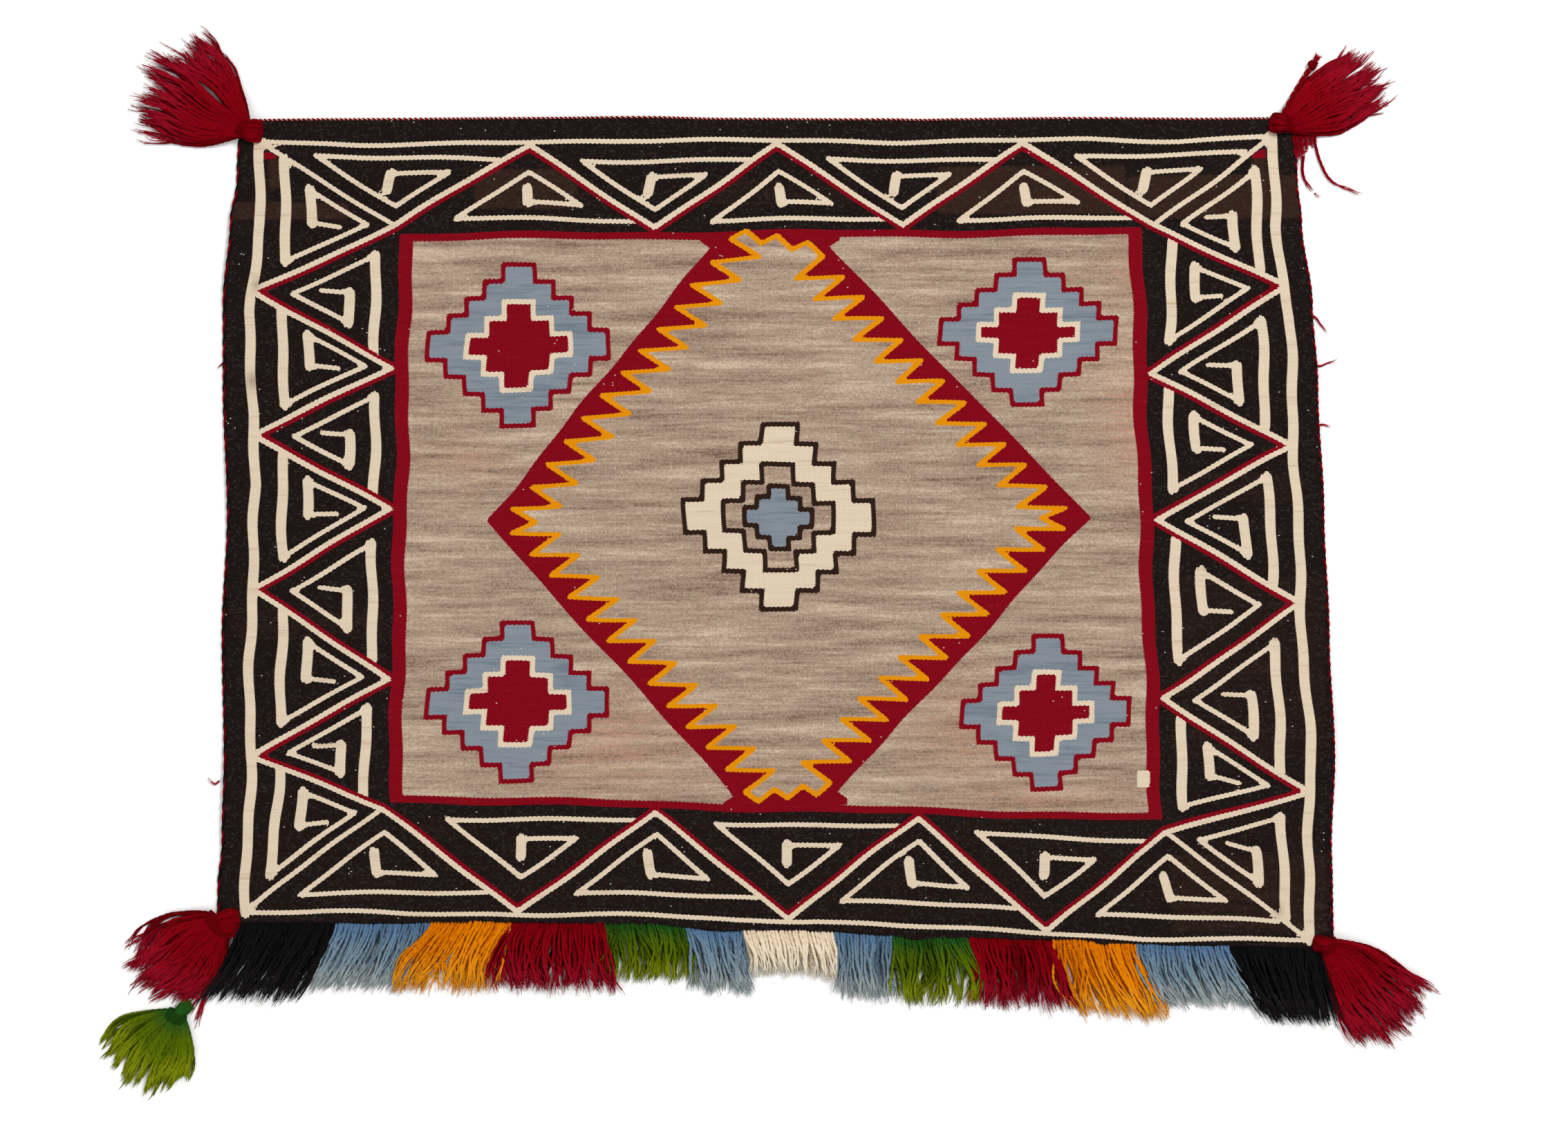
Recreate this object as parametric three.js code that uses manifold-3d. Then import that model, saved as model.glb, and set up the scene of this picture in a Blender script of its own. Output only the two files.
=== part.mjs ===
// Saddle blanket: one flat woven wool cloth with selvage cords, a knotted yarn fringe in
// coloured sections along the lower edge, four red corner tassels and one green tassel.
// Millimetres, +Z up. The cloth lies right side up on the plane z = 0, lower edge towards -Y.
import * as THREE from 'three';
import Module from 'manifold-3d';

const library = await Module();
library.setup();

// Driving sizes
const CLOTH_THICKNESS = 3;
const PIECE_GAP = 0.3;
const CORD_DIAMETER = 2.8;
const CORD_REST_HEIGHT = 0.1;
const HEADING_WIDTH = 6;
const HEADING_HEIGHT = 3;
const HEADING_GAP = 0.5;
const STRAND_PITCH = 6.5;
const STRAND_ROOT = 1.2;
const LEAN_DEPTH = 60;
const STRAND_HEIGHT = { root: 2.6, middle: 3.8, tip: 2 };
const LOCK_HEIGHT = { root: 2.2, middle: 3.2, tip: 1.8 };
const ROOT_LAYER = 2.5;
const LOCK_GAP = 0.4;
const LOCK_WIDTH_LIMIT = 10;
const SPACING_FILLED = 0.78;
const CLEAR_OF_CLOTH = 18;
const FALL_TO_FLOOR = 26;
const CLOTH_COLUMNS = 28;
const CLOTH_ROWS = 22;

// Side edges of the cloth: the x of the left and of the right edge at each height y.
const SIDE_EDGES = [
  { at: -399, left: -524, right: 523 },
  { at: -338, left: -523, right: 522 },
  { at: -299, left: -519, right: 521 },
  { at: -221, left: -517, right: 524 },
  { at: -104, left: -519, right: 519 },
  { at: 13, left: -514, right: 514 },
  { at: 130, left: -518, right: 508 },
  { at: 208, left: -518, right: 503 },
  { at: 286, left: -511, right: 493 },
  { at: 325, left: -505, right: 489 },
  { at: 383, left: -503, right: 485 },
];

// Lower and upper edges of the cloth: their y at each x.
const END_EDGES = [
  { at: -525, bottom: -374, top: 380 },
  { at: -417, bottom: -375, top: 381 },
  { at: -236, bottom: -374, top: 382 },
  { at: -118, bottom: -376, top: 383 },
  { at: -47, bottom: -382, top: 381.5 },
  { at: 51, bottom: -383, top: 381 },
  { at: 109, bottom: -386.5, top: 381 },
  { at: 135, bottom: -391, top: 380.5 },
  { at: 171, bottom: -388.5, top: 381 },
  { at: 285, bottom: -391, top: 382 },
  { at: 311, bottom: -395, top: 382 },
  { at: 392, bottom: -395.5, top: 381.5 },
  { at: 525, bottom: -399, top: 382.5 },
];

// Low ripples where the cloth lifts off the surface: centre, half size and lift.
const RIPPLES = [
  { x: -515, y: 262, halfX: 75, halfY: 75, lift: 3 },
  { x: -520, y: -255, halfX: 60, halfY: 90, lift: 2.5 },
  { x: -515, y: 40, halfX: 55, halfY: 80, lift: 1.5 },
  { x: 512, y: 150, halfX: 60, halfY: 95, lift: 2.5 },
  { x: 524, y: -190, halfX: 70, halfY: 90, lift: 2 },
  { x: -180, y: 385, halfX: 120, halfY: 50, lift: 1.8 },
  { x: 240, y: 385, halfX: 110, halfY: 55, lift: 2 },
];

// Fringe sections from left to right: root range along the lower edge and strand length.
const FRINGE_SECTIONS = [
  { colour: 'black', from: -503.8, to: -414, length: 68 },
  { colour: 'blue', from: -414, to: -324, length: 55 },
  { colour: 'gold', from: -324, to: -248, length: 54 },
  { colour: 'red', from: -248, to: -161, length: 55 },
  { colour: 'green', from: -161, to: -86, length: 47 },
  { colour: 'blue', from: -86, to: -30.6, length: 49 },
  { colour: 'white', from: -30.6, to: 54, length: 35 },
  { colour: 'blue', from: 54, to: 109, length: 50 },
  { colour: 'green', from: 109, to: 181, length: 54 },
  { colour: 'red', from: 181, to: 260, length: 58 },
  { colour: 'gold', from: 260, to: 339, length: 60 },
  { colour: 'blue', from: 339, to: 426, length: 52 },
  { colour: 'black', from: 426, to: 513.5, length: 66 },
];

// How far the strands lean along +X at LEAN_DEPTH below the knots, at each x of the root.
const FRINGE_LEAN = [
  { at: -504, lean: -32 },
  { at: -414, lean: -30 },
  { at: -324, lean: -27 },
  { at: -248, lean: -14 },
  { at: -161, lean: 2 },
  { at: -70, lean: 11 },
  { at: -10, lean: 1 },
  { at: 109, lean: 6 },
  { at: 181, lean: 7 },
  { at: 260, lean: 18 },
  { at: 426, lean: 30 },
  { at: 514, lean: 11 },
];

// Corner tassels. x and y are the tied neck; heading is the fan's middle direction and spread
// its whole angle, in degrees; reach is the fan's length at its right side, middle and left
// side, seen along the heading, and bulge is how far its right and left sides curve outwards;
// headTurn is the direction from the neck to the head's end.
const TASSELS = [
  {
    name: 'tassel_top_left', colour: 'red', x: -498, y: 371, heading: 145, spread: 74,
    reach: [100, 109, 106], bulge: [0.75, 0.75], neckWidth: 13, headTurn: -5, headLength: 16,
    headWidth: 22, onCloth: true, tails: [],
  },
  {
    name: 'tassel_top_right', colour: 'red', x: 478, y: 376, heading: 27, spread: 46,
    reach: [90, 115, 97], bulge: [0.45, 0.25], neckWidth: 13, headTurn: 168, headLength: 14,
    headWidth: 19, onCloth: true, tails: [],
  },
  {
    name: 'tassel_bottom_left', colour: 'red', x: -522, y: -373, heading: 222, spread: 55,
    reach: [86, 102, 76], bulge: [0.8, 0.4], neckWidth: 24, headTurn: 0, headLength: 18,
    headWidth: 27, onCloth: true, tails: [{ heading: 256, reach: 104, width: 3.4 }],
  },
  {
    name: 'tassel_bottom_right', colour: 'red', x: 519, y: -393, heading: -51, spread: 50,
    reach: [84, 126, 108], bulge: [0.2, 0.55], neckWidth: 14, headTurn: 176, headLength: 14,
    headWidth: 16, onCloth: true, tails: [],
  },
  {
    name: 'tassel_green', colour: 'green', x: -562, y: -459, heading: 242, spread: 84,
    reach: [72, 81, 58], bulge: [0.7, 0.6], neckWidth: 14, headTurn: 42, headLength: 16.2,
    headWidth: 13, onCloth: false, tails: [],
  },
];

// Layers of locks in a tassel, from the bottom up, with their share of the fan's reach.
const LOCK_LAYERS = [
  { count: 9, reach: 1, spread: 1 },
  { count: 6, reach: 0.9, spread: 0.8 },
  { count: 4, reach: 0.74, spread: 0.6 },
];

// A tassel head from the neck to its end: width and height as shares of the head's own.
const HEAD_PROFILE = [
  { along: 0, width: 0.5, height: 0.7 },
  { along: 0.25, width: 0.85, height: 0.95 },
  { along: 0.6, width: 1, height: 1 },
  { along: 0.88, width: 0.75, height: 0.8 },
  { along: 1, width: 0.35, height: 0.4 },
];
const HEAD_HEIGHT = 9;
const HEAD_SIDES = 6;
const NECK_LENGTH = 9;
const NECK_OVERLAP = 4;
const NECK_HEIGHT = 8.6;

// Twisted cord end beside the top right tassel: a two-ply cord on the surface.
const CORD_END = {
  points: [[474, 381], [484, 400], [496, 420], [509, 440]],
  halfWidth: 2.9,
  halfThickness: 1.7,
  twistLength: 26,
  steps: 16,
  leavesCloth: 10,
  reachesFloor: 34,
};

// Small ribbed flap below the top right tassel, with two loose yarn tails and a stub.
const FLAP = {
  corners: [[490, 364], [514, 364], [492.5, 341]],
  thickness: 1.6,
  tailWidth: 2.6,
  tailTip: 0.4,
  tailSteps: 8,
  tails: [
    [[506, 362], [512, 341], [523, 323], [548, 312]],
    [[496, 347], [495, 334], [498, 323], [508, 311]],
  ],
};

const COLOURS = {
  black: 0x1c1a1a,
  blue: 0x7896af,
  gold: 0xe69a10,
  red: 0x96061c,
  green: 0x5c7a18,
  white: 0xdcd0be,
  field: 0xa59484,
};

const mix = THREE.MathUtils.lerp;
const radians = THREE.MathUtils.degToRad;
const smoothstep = THREE.MathUtils.smoothstep;

// Smooth value of one column of a table at a place along its 'at' column.
function read(table, column, place) {
  const last = table.length - 1;
  let row = table.findIndex((entry) => entry.at > place) - 1;
  if (place >= table[last].at) row = last - 1;
  row = Math.max(row, 0);
  const [a, b] = [table[row], table[row + 1]];
  const share = THREE.MathUtils.clamp((place - a.at) / (b.at - a.at), 0, 1);
  return mix(a[column], b[column], share * share * (3 - 2 * share));
}

function bump(offset) {
  return Math.abs(offset) < 1 ? Math.cos((offset * Math.PI) / 2) ** 2 : 0;
}

// Height of the cloth's underside above the surface.
function lift(x, y) {
  const height = (ripple) =>
    ripple.lift * bump((x - ripple.x) / ripple.halfX) * bump((y - ripple.y) / ripple.halfY);
  return RIPPLES.reduce((sum, ripple) => sum + height(ripple), 0);
}

// Point of the cloth's plan at shares u (left to right) and v (lower to upper edge).
function clothPoint(u, v) {
  let x = mix(SIDE_EDGES[0].left, SIDE_EDGES[0].right, u);
  let y = 0;
  for (let pass = 0; pass < 4; pass++) {
    y = mix(read(END_EDGES, 'bottom', x), read(END_EDGES, 'top', x), v);
    x = mix(read(SIDE_EDGES, 'left', y), read(SIDE_EDGES, 'right', y), u);
  }
  return new THREE.Vector2(x, y);
}

const LOWER_EDGE = Array.from({ length: CLOTH_COLUMNS + 1 }, (_, column) =>
  clothPoint(column / CLOTH_COLUMNS, 0),
);

// A closed solid as plain lists of coordinates and triangle corners.
function shape(points, faces) {
  return { positions: points.flatMap((point) => point.toArray()), faces };
}

// Closed solid through a row of rings, each anticlockwise when seen from the far end.
function loft(rings) {
  const sides = rings[0].length;
  const end = (rings.length - 1) * sides;
  const faces = [];
  for (let ring = 0; ring < rings.length - 1; ring++) {
    for (let side = 0; side < sides; side++) {
      const a = ring * sides + side;
      const b = ring * sides + ((side + 1) % sides);
      faces.push(a, b, b + sides, a, b + sides, a + sides);
    }
  }
  for (let side = 1; side < sides - 1; side++) {
    faces.push(0, side + 1, side, end, end + side, end + side + 1);
  }
  return shape(rings.flat(), faces);
}

function asGeometry(positions, faces) {
  const geometry = new THREE.BufferGeometry();
  geometry.setAttribute('position', new THREE.Float32BufferAttribute(positions, 3));
  geometry.setIndex(Array.from(faces));
  geometry.computeVertexNormals();
  return geometry;
}

function asSolid({ positions, faces }) {
  const mesh = new library.Mesh({
    numProp: 3,
    vertProperties: new Float32Array(positions),
    triVerts: new Uint32Array(faces),
  });
  return new library.Manifold(mesh);
}

// Joins shapes that overlap at their roots into one body.
function fuse(shapes) {
  const joined = shapes.map(asSolid).reduce((sum, solid) => sum.add(solid));
  const { vertProperties, triVerts } = joined.getMesh();
  return asGeometry(vertProperties, triVerts);
}

const object = new THREE.Group();

function addPiece(name, geometry, colour) {
  const material = new THREE.MeshStandardMaterial({
    color: COLOURS[colour],
    roughness: 0.95,
    metalness: 0,
  });
  const mesh = new THREE.Mesh(geometry, material);
  mesh.name = name;
  object.add(mesh);
}

// Directions of travel along a path of plan points, one for each point.
function directions(path) {
  return path.map((point, i) => {
    const before = path[Math.max(i - 1, 0)];
    const after = path[Math.min(i + 1, path.length - 1)];
    return new THREE.Vector2(after.x - before.x, after.y - before.y).normalize();
  });
}

// Solid that follows a path. section(i) gives ring corners as [to the left, up] pairs.
function sweep(path, section) {
  const along = directions(path);
  const rings = path.map((point, i) =>
    section(i).map(
      ([left, up]) =>
        new THREE.Vector3(point.x - along[i].y * left, point.y + along[i].x * left, point.z + up),
    ),
  );
  return loft(rings);
}

function triangleSection(width, height) {
  return [[width / 2, 0], [0, height], [-width / 2, 0]];
}

function fourSidedSection(width, height) {
  return [[width / 2, 0], [width * 0.32, height], [-width * 0.32, height], [-width / 2, 0]];
}

// Half an ellipse that stands on its flat side.
function halfRound(width, height) {
  const corners = [];
  for (let side = 0; side <= HEAD_SIDES; side++) {
    const turn = (Math.PI * side) / HEAD_SIDES;
    corners.push([(Math.cos(turn) * width) / 2, Math.sin(turn) * height]);
  }
  return corners;
}

// Cloth: a grid of cells, top and underside parallel, closed by a wall round the edge.
function makeCloth() {
  const columns = CLOTH_COLUMNS + 1;
  const layer = columns * (CLOTH_ROWS + 1);
  const points = [];
  for (const height of [0, CLOTH_THICKNESS]) {
    for (let row = 0; row <= CLOTH_ROWS; row++) {
      for (let column = 0; column <= CLOTH_COLUMNS; column++) {
        const { x, y } = clothPoint(column / CLOTH_COLUMNS, row / CLOTH_ROWS);
        points.push(new THREE.Vector3(x, y, height + lift(x, y)));
      }
    }
  }
  const faces = [];
  for (let row = 0; row < CLOTH_ROWS; row++) {
    for (let column = 0; column < CLOTH_COLUMNS; column++) {
      const a = row * columns + column;
      const b = a + 1;
      const c = b + columns;
      const d = a + columns;
      faces.push(a, d, c, a, c, b);
      faces.push(layer + a, layer + b, layer + c, layer + a, layer + c, layer + d);
    }
  }
  const rim = [];
  for (let column = 0; column < CLOTH_COLUMNS; column++) rim.push(column);
  for (let row = 0; row < CLOTH_ROWS; row++) rim.push(row * columns + CLOTH_COLUMNS);
  for (let column = CLOTH_COLUMNS; column > 0; column--) rim.push(CLOTH_ROWS * columns + column);
  for (let row = CLOTH_ROWS; row > 0; row--) rim.push(row * columns);
  rim.forEach((a, i) => {
    const b = rim[(i + 1) % rim.length];
    faces.push(a, b, layer + b, a, layer + b, layer + a);
  });
  const { positions } = shape(points, faces);
  return asGeometry(positions, faces);
}

// Selvage cord along one edge of the cloth, a small gap outside it. outward is the cord's
// side of the edge, and edge(share) runs from one corner to the other.
function makeSelvageCord(edge, outward, steps) {
  const radius = CORD_DIAMETER / 2;
  const path = [];
  for (let step = 0; step <= steps; step++) {
    const { x, y } = edge(step / steps);
    const away = radius + PIECE_GAP + 0.1;
    const height = radius + CORD_REST_HEIGHT + lift(x, y);
    path.push(new THREE.Vector3(x + outward.x * away, y + outward.y * away, height));
  }
  const section = [[radius, 0], [0, radius], [-radius, 0], [0, -radius]];
  const { positions, faces } = sweep(path, () => section);
  return asGeometry(positions, faces);
}

// Narrow strip of knots that holds the strands of one fringe section. It has a bend wherever
// the cloth's lower edge has one, so that the gap between them is even.
function makeHeading(from, to) {
  const bends = LOWER_EDGE.map((point) => point.x).filter((x) => x > from + 1 && x < to - 1);
  const path = [from, ...bends, to].map((x) => new THREE.Vector3(x, headingLine(x), 0));
  const half = HEADING_WIDTH / 2;
  const round = half * 0.7;
  const section = [[half, 0], [round, HEADING_HEIGHT], [-round, HEADING_HEIGHT], [-half, 0]];
  return sweep(path, () => section);
}

// Middle line of the knot strip, below the cloth's lower edge.
function headingLine(x) {
  const next = Math.max(LOWER_EDGE.findIndex((point) => point.x >= x), 1);
  const [a, b] = [LOWER_EDGE[next - 1], LOWER_EDGE[next]];
  const edge = mix(a.y, b.y, (x - a.x) / (b.x - a.x));
  return edge - HEADING_GAP - HEADING_WIDTH / 2;
}

// Uneven share for the strand or lock of this number, from -1 to 1, the same every time.
function uneven(number) {
  return Math.sin(number * 2.4) * 0.6 + Math.sin(number * 5.3 + 1) * 0.4;
}

// How far a strand has moved along X at a depth below the knots. Neighbours move almost
// alike, so that strands of any length stay apart.
function strandShift(x, depth) {
  const share = depth / LEAN_DEPTH;
  const wave = 1.6 * Math.sin(x / 21) * Math.sin(Math.PI * share * 0.8);
  return read(FRINGE_LEAN, 'lean', x) * share ** 1.3 + wave;
}

function makeStrand(x, length, pitch) {
  const shares = [0, 0.32, 0.68, 1];
  const path = shares.map((share) => {
    const depth = length * share;
    const y = headingLine(x) - STRAND_ROOT - depth;
    return new THREE.Vector3(x + strandShift(x, depth), y, 0);
  });
  const { root, middle, tip } = STRAND_HEIGHT;
  const heights = [root, mix(root, middle, 0.8), middle, tip];
  const taper = [1, 1, 0.92, 0.3];
  const along = directions(path);
  const width = (i) => pitch * SPACING_FILLED * taper[i] * Math.abs(along[i].y);
  return sweep(path, (i) => triangleSection(width(i), heights[i]));
}

let strandNumber = 0;

function makeFringe({ from, to, length }) {
  const count = Math.round((to - from) / STRAND_PITCH);
  const pitch = (to - from) / count;
  const shapes = [makeHeading(from + PIECE_GAP / 2, to - PIECE_GAP / 2)];
  for (let i = 0; i < count; i++) {
    strandNumber += 1;
    const reach = HEADING_WIDTH / 2 + length * (1 + 0.05 * uneven(strandNumber));
    shapes.push(makeStrand(from + (i + 0.5) * pitch, reach, pitch));
  }
  return fuse(shapes);
}

function heading2D(degrees) {
  return new THREE.Vector2(Math.cos(radians(degrees)), Math.sin(radians(degrees)));
}

// Plan point of a tassel's lock. side runs from -0.5, right of the heading, to 0.5, left.
function lockPoint(tassel, side, reachShare, share) {
  const neck = new THREE.Vector2(tassel.x, tassel.y);
  const ahead = heading2D(tassel.heading);
  const left = heading2D(tassel.heading + 90);
  const [right, middle, far] = tassel.reach;
  const reach = reachShare * (side < 0 ? mix(middle, right, -2 * side) : mix(middle, far, 2 * side));
  const bulge = mix(...tassel.bulge, side + 0.5);
  const root = neck.clone().addScaledVector(left, side * tassel.neckWidth);
  const bend = neck.clone().addScaledVector(left, side * (tassel.neckWidth * 1.4 + reach * bulge));
  bend.addScaledVector(ahead, reach * 0.36);
  const tip = neck.clone().addScaledVector(heading2D(tassel.heading + tassel.spread * side), reach);
  return new THREE.QuadraticBezierCurve(root, bend, tip).getPoint(share);
}

// Height of a lock's underside: it clears the cloth, then falls to its own layer.
function lockHeight(tassel, layerNumber, distance) {
  const atNeck = layerNumber * ROOT_LAYER + (tassel.onCloth ? CLOTH_THICKNESS + 2 * PIECE_GAP : 0);
  const onFloor = layerNumber * (LOCK_HEIGHT.middle + LOCK_GAP);
  const fallen = smoothstep(distance, CLEAR_OF_CLOTH, CLEAR_OF_CLOTH + FALL_TO_FLOOR);
  return mix(atNeck, onFloor, fallen);
}

function makeLock(tassel, layerNumber, index) {
  const layer = LOCK_LAYERS[layerNumber];
  const side = ((index + 0.5) / layer.count - 0.5) * layer.spread;
  const half = (0.5 / layer.count) * layer.spread;
  const number = layerNumber * 11 + index + tassel.heading;
  const reachShare = layer.reach * (1 + 0.045 * uneven(number));
  const shares = [0, 0.2, 0.45, 0.75, 1];
  const taper = [1, 1, 1, 0.9, 0.25];
  const { root, middle, tip } = LOCK_HEIGHT;
  const heights = [root, root, middle, mix(middle, tip, 0.5), tip];
  const path = shares.map((share) => {
    const { x, y } = lockPoint(tassel, side, reachShare, share);
    const distance = Math.hypot(x - tassel.x, y - tassel.y);
    return new THREE.Vector3(x, y, lockHeight(tassel, layerNumber, distance));
  });
  return sweep(path, (i) => {
    const before = lockPoint(tassel, side - half, reachShare, shares[i]);
    const after = lockPoint(tassel, side + half, reachShare, shares[i]);
    const spacing = Math.min(before.distanceTo(after) * SPACING_FILLED, LOCK_WIDTH_LIMIT);
    const section = layerNumber === 0 ? fourSidedSection : triangleSection;
    return section(spacing * taper[i], heights[i]);
  });
}

// Longer loose tail that leaves the neck beside the fan.
function makeTail(tassel, tail) {
  const along = heading2D(tail.heading);
  const shares = [0, 0.2, 0.4, 0.6, 0.8, 1];
  const taper = [1, 1, 1, 1, 1, 0.4];
  const path = shares.map((share) => {
    const distance = tail.reach * share;
    const sway = 3 * Math.sin(Math.PI * 2 * share);
    const x = tassel.x + along.x * distance - along.y * sway;
    const y = tassel.y + along.y * distance + along.x * sway;
    return new THREE.Vector3(x, y, lockHeight(tassel, 0, distance));
  });
  return sweep(path, (i) => triangleSection(tail.width * taper[i], LOCK_HEIGHT.root));
}

function makeHead(tassel) {
  const along = heading2D(tassel.headTurn);
  const base = tassel.onCloth ? CLOTH_THICKNESS + PIECE_GAP : 0;
  const path = HEAD_PROFILE.map((entry) => {
    const distance = entry.along * tassel.headLength;
    return new THREE.Vector3(tassel.x + along.x * distance, tassel.y + along.y * distance, base);
  });
  return sweep(path, (i) => {
    const { width, height } = HEAD_PROFILE[i];
    return halfRound(tassel.headWidth * width, HEAD_HEIGHT * height);
  });
}

// Tied neck: it holds the roots of all the locks.
function makeNeck(tassel) {
  const along = heading2D(tassel.heading);
  const base = tassel.onCloth ? CLOTH_THICKNESS + PIECE_GAP : 0;
  const path = [-NECK_OVERLAP, 0, NECK_LENGTH].map(
    (distance) =>
      new THREE.Vector3(tassel.x + along.x * distance, tassel.y + along.y * distance, base),
  );
  const grow = [0.7, 1, 1.12];
  return sweep(path, (i) => halfRound(tassel.neckWidth * 1.15 * grow[i], NECK_HEIGHT * grow[i]));
}

function makeTassel(tassel) {
  const shapes = [makeHead(tassel), makeNeck(tassel)];
  LOCK_LAYERS.forEach((layer, layerNumber) => {
    for (let index = 0; index < layer.count; index++) {
      shapes.push(makeLock(tassel, layerNumber, index));
    }
  });
  for (const tail of tassel.tails) shapes.push(makeTail(tassel, tail));
  if (tassel.name === 'tassel_top_right') shapes.push(makeCordEnd());
  return fuse(shapes);
}

// Twisted two-ply end: a flattened section that turns as it goes.
function makeCordEnd() {
  const knots = CORD_END.points.map(([x, y]) => new THREE.Vector3(x, y, 0));
  const curve = new THREE.CatmullRomCurve3(knots);
  const length = curve.getLength();
  const lowest = Math.max(CORD_END.halfWidth, CORD_END.halfThickness) + CORD_REST_HEIGHT;
  const path = curve.getSpacedPoints(CORD_END.steps);
  path.forEach((point, i) => {
    const distance = (length * i) / CORD_END.steps;
    const fallen = smoothstep(distance, CORD_END.leavesCloth, CORD_END.reachesFloor);
    point.z = mix(CLOTH_THICKNESS + PIECE_GAP, 0, fallen) + lowest;
  });
  return sweep(path, (i) => {
    const turn = (Math.PI * 2 * length * i) / CORD_END.steps / CORD_END.twistLength;
    const corner = (x, y) => [
      x * Math.cos(turn) - y * Math.sin(turn),
      x * Math.sin(turn) + y * Math.cos(turn),
    ];
    const { halfWidth, halfThickness } = CORD_END;
    return [
      corner(halfWidth, 0),
      corner(0, halfThickness),
      corner(-halfWidth, 0),
      corner(0, -halfThickness),
    ];
  });
}

function makeFlap() {
  const [a, b, c] = FLAP.corners.map(([x, y]) => new THREE.Vector3(x, y, 0));
  const upper = [a, c, b].map((point) => point.clone().setZ(FLAP.thickness));
  const sheet = loft([[a, c, b], upper]);
  const tails = FLAP.tails.map((points) => {
    const curve = new THREE.CatmullRomCurve3(points.map(([x, y]) => new THREE.Vector3(x, y, 0)));
    const path = curve.getSpacedPoints(FLAP.tailSteps);
    const width = (i) => FLAP.tailWidth * (i === FLAP.tailSteps ? FLAP.tailTip : 1);
    return sweep(path, (i) => triangleSection(width(i), FLAP.tailWidth));
  });
  return fuse([sheet, ...tails]);
}

addPiece('blanket', makeCloth(), 'field');

const leftEdge = (share) => clothPoint(0, share);
const rightEdge = (share) => clothPoint(1, share);
const topEdge = (share) => clothPoint(share, 1);
addPiece('selvage_cord_left', makeSelvageCord(leftEdge, { x: -1, y: 0 }, CLOTH_ROWS), 'red');
addPiece('selvage_cord_right', makeSelvageCord(rightEdge, { x: 1, y: 0 }, CLOTH_ROWS), 'red');
addPiece('selvage_cord_top', makeSelvageCord(topEdge, { x: 0, y: 1 }, CLOTH_COLUMNS), 'red');

FRINGE_SECTIONS.forEach((section, i) => {
  const number = String(i + 1).padStart(2, '0');
  addPiece(`fringe_${number}_${section.colour}`, makeFringe(section), section.colour);
});
for (const tassel of TASSELS) addPiece(tassel.name, makeTassel(tassel), tassel.colour);
addPiece('corner_flap', makeFlap(), 'red');

// The origin is under the middle of the whole object's box, on the surface it lies on.
const box = new THREE.Box3().setFromObject(object);
const middle = box.getCenter(new THREE.Vector3());
object.position.set(-middle.x, -middle.y, -box.min.z);
object.updateMatrixWorld(true);

export default object;
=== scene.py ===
"""A woven wool saddle blanket with a yarn fringe and corner tassels, laid flat on a pale floor.

Tables and shapes are in millimetres on the cloth's own plan: x to the right, y towards the top
edge, origin near the cloth's middle. place() turns them into metres in the model's frame.
"""

import math

import bpy
import numpy as np
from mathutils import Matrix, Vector


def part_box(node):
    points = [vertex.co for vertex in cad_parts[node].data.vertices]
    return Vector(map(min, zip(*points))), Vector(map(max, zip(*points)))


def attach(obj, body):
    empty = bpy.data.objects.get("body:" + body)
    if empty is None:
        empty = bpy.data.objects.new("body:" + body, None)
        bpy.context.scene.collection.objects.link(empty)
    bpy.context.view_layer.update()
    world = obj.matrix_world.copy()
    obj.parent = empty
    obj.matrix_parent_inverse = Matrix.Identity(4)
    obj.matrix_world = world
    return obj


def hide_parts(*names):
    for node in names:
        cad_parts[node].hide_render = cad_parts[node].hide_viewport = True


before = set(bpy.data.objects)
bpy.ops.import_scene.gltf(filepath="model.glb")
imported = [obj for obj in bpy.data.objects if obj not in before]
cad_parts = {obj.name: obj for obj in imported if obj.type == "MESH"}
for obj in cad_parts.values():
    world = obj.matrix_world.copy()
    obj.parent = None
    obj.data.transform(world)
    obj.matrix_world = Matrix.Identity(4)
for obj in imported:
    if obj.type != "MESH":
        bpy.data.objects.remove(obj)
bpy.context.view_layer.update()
chance = np.random.default_rng(7)


def table(columns, rows):
    """A dictionary of arrays, one for each named column."""
    return dict(zip(columns.split(), np.array(rows, float).T))


# Sizes of the cloth

CLOTH_THICKNESS = 3.0
CLOTH_COLUMNS = 352
CLOTH_ROWS = 264
UNDERSIDE_STEP = 8
EDGE_ROUNDING = 0.8
PUCKER_HEIGHT = 0.7
SIDE_SCALLOP = 0.8

# Left and right edge of the cloth at each y.
SIDE_EDGES = table("at left right", [
    (-399, -524, 523), (-338, -523, 522), (-299, -519, 521), (-221, -517, 524),
    (-104, -519, 519), (13, -514, 514), (130, -518, 508), (208, -518, 503),
    (286, -511, 493), (325, -505, 489), (383, -503, 485),
])

# Lower and upper edge of the cloth at each x.
END_EDGES = table("at bottom top", [
    (-525, -374, 380), (-417, -375, 381), (-236, -374, 382), (-118, -376, 383),
    (-47, -382, 381.5), (51, -383, 381), (109, -386.5, 381), (135, -391, 380.5),
    (171, -388.5, 381), (285, -391, 382), (311, -395, 382), (392, -395.5, 381.5),
    (525, -399, 382.5),
])

# Low ripples along the edges: middle, half size and height of each.
RIPPLES = table("x y half_x half_y lift", [
    (-515, 262, 75, 75, 3), (-520, -255, 60, 90, 2.5), (-515, 40, 55, 80, 1.5),
    (512, 150, 60, 95, 2.5), (524, -190, 70, 90, 2),
    (-180, 385, 120, 50, 1.8), (240, 385, 110, 55, 2),
])

# Sizes of the weave

WARP_PITCH = 2.1
PICK_PITCH = 1.27
PICK_SHIFT = 0.5
TOOTH_DEPTH = 0.3
JAG_DEPTH = 0.75
JAG_PITCH = 2.05
JAG_REACH = 9.0
WEAVE_RELIEF = 0.22
YARN_RELIEF = 0.6

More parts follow.
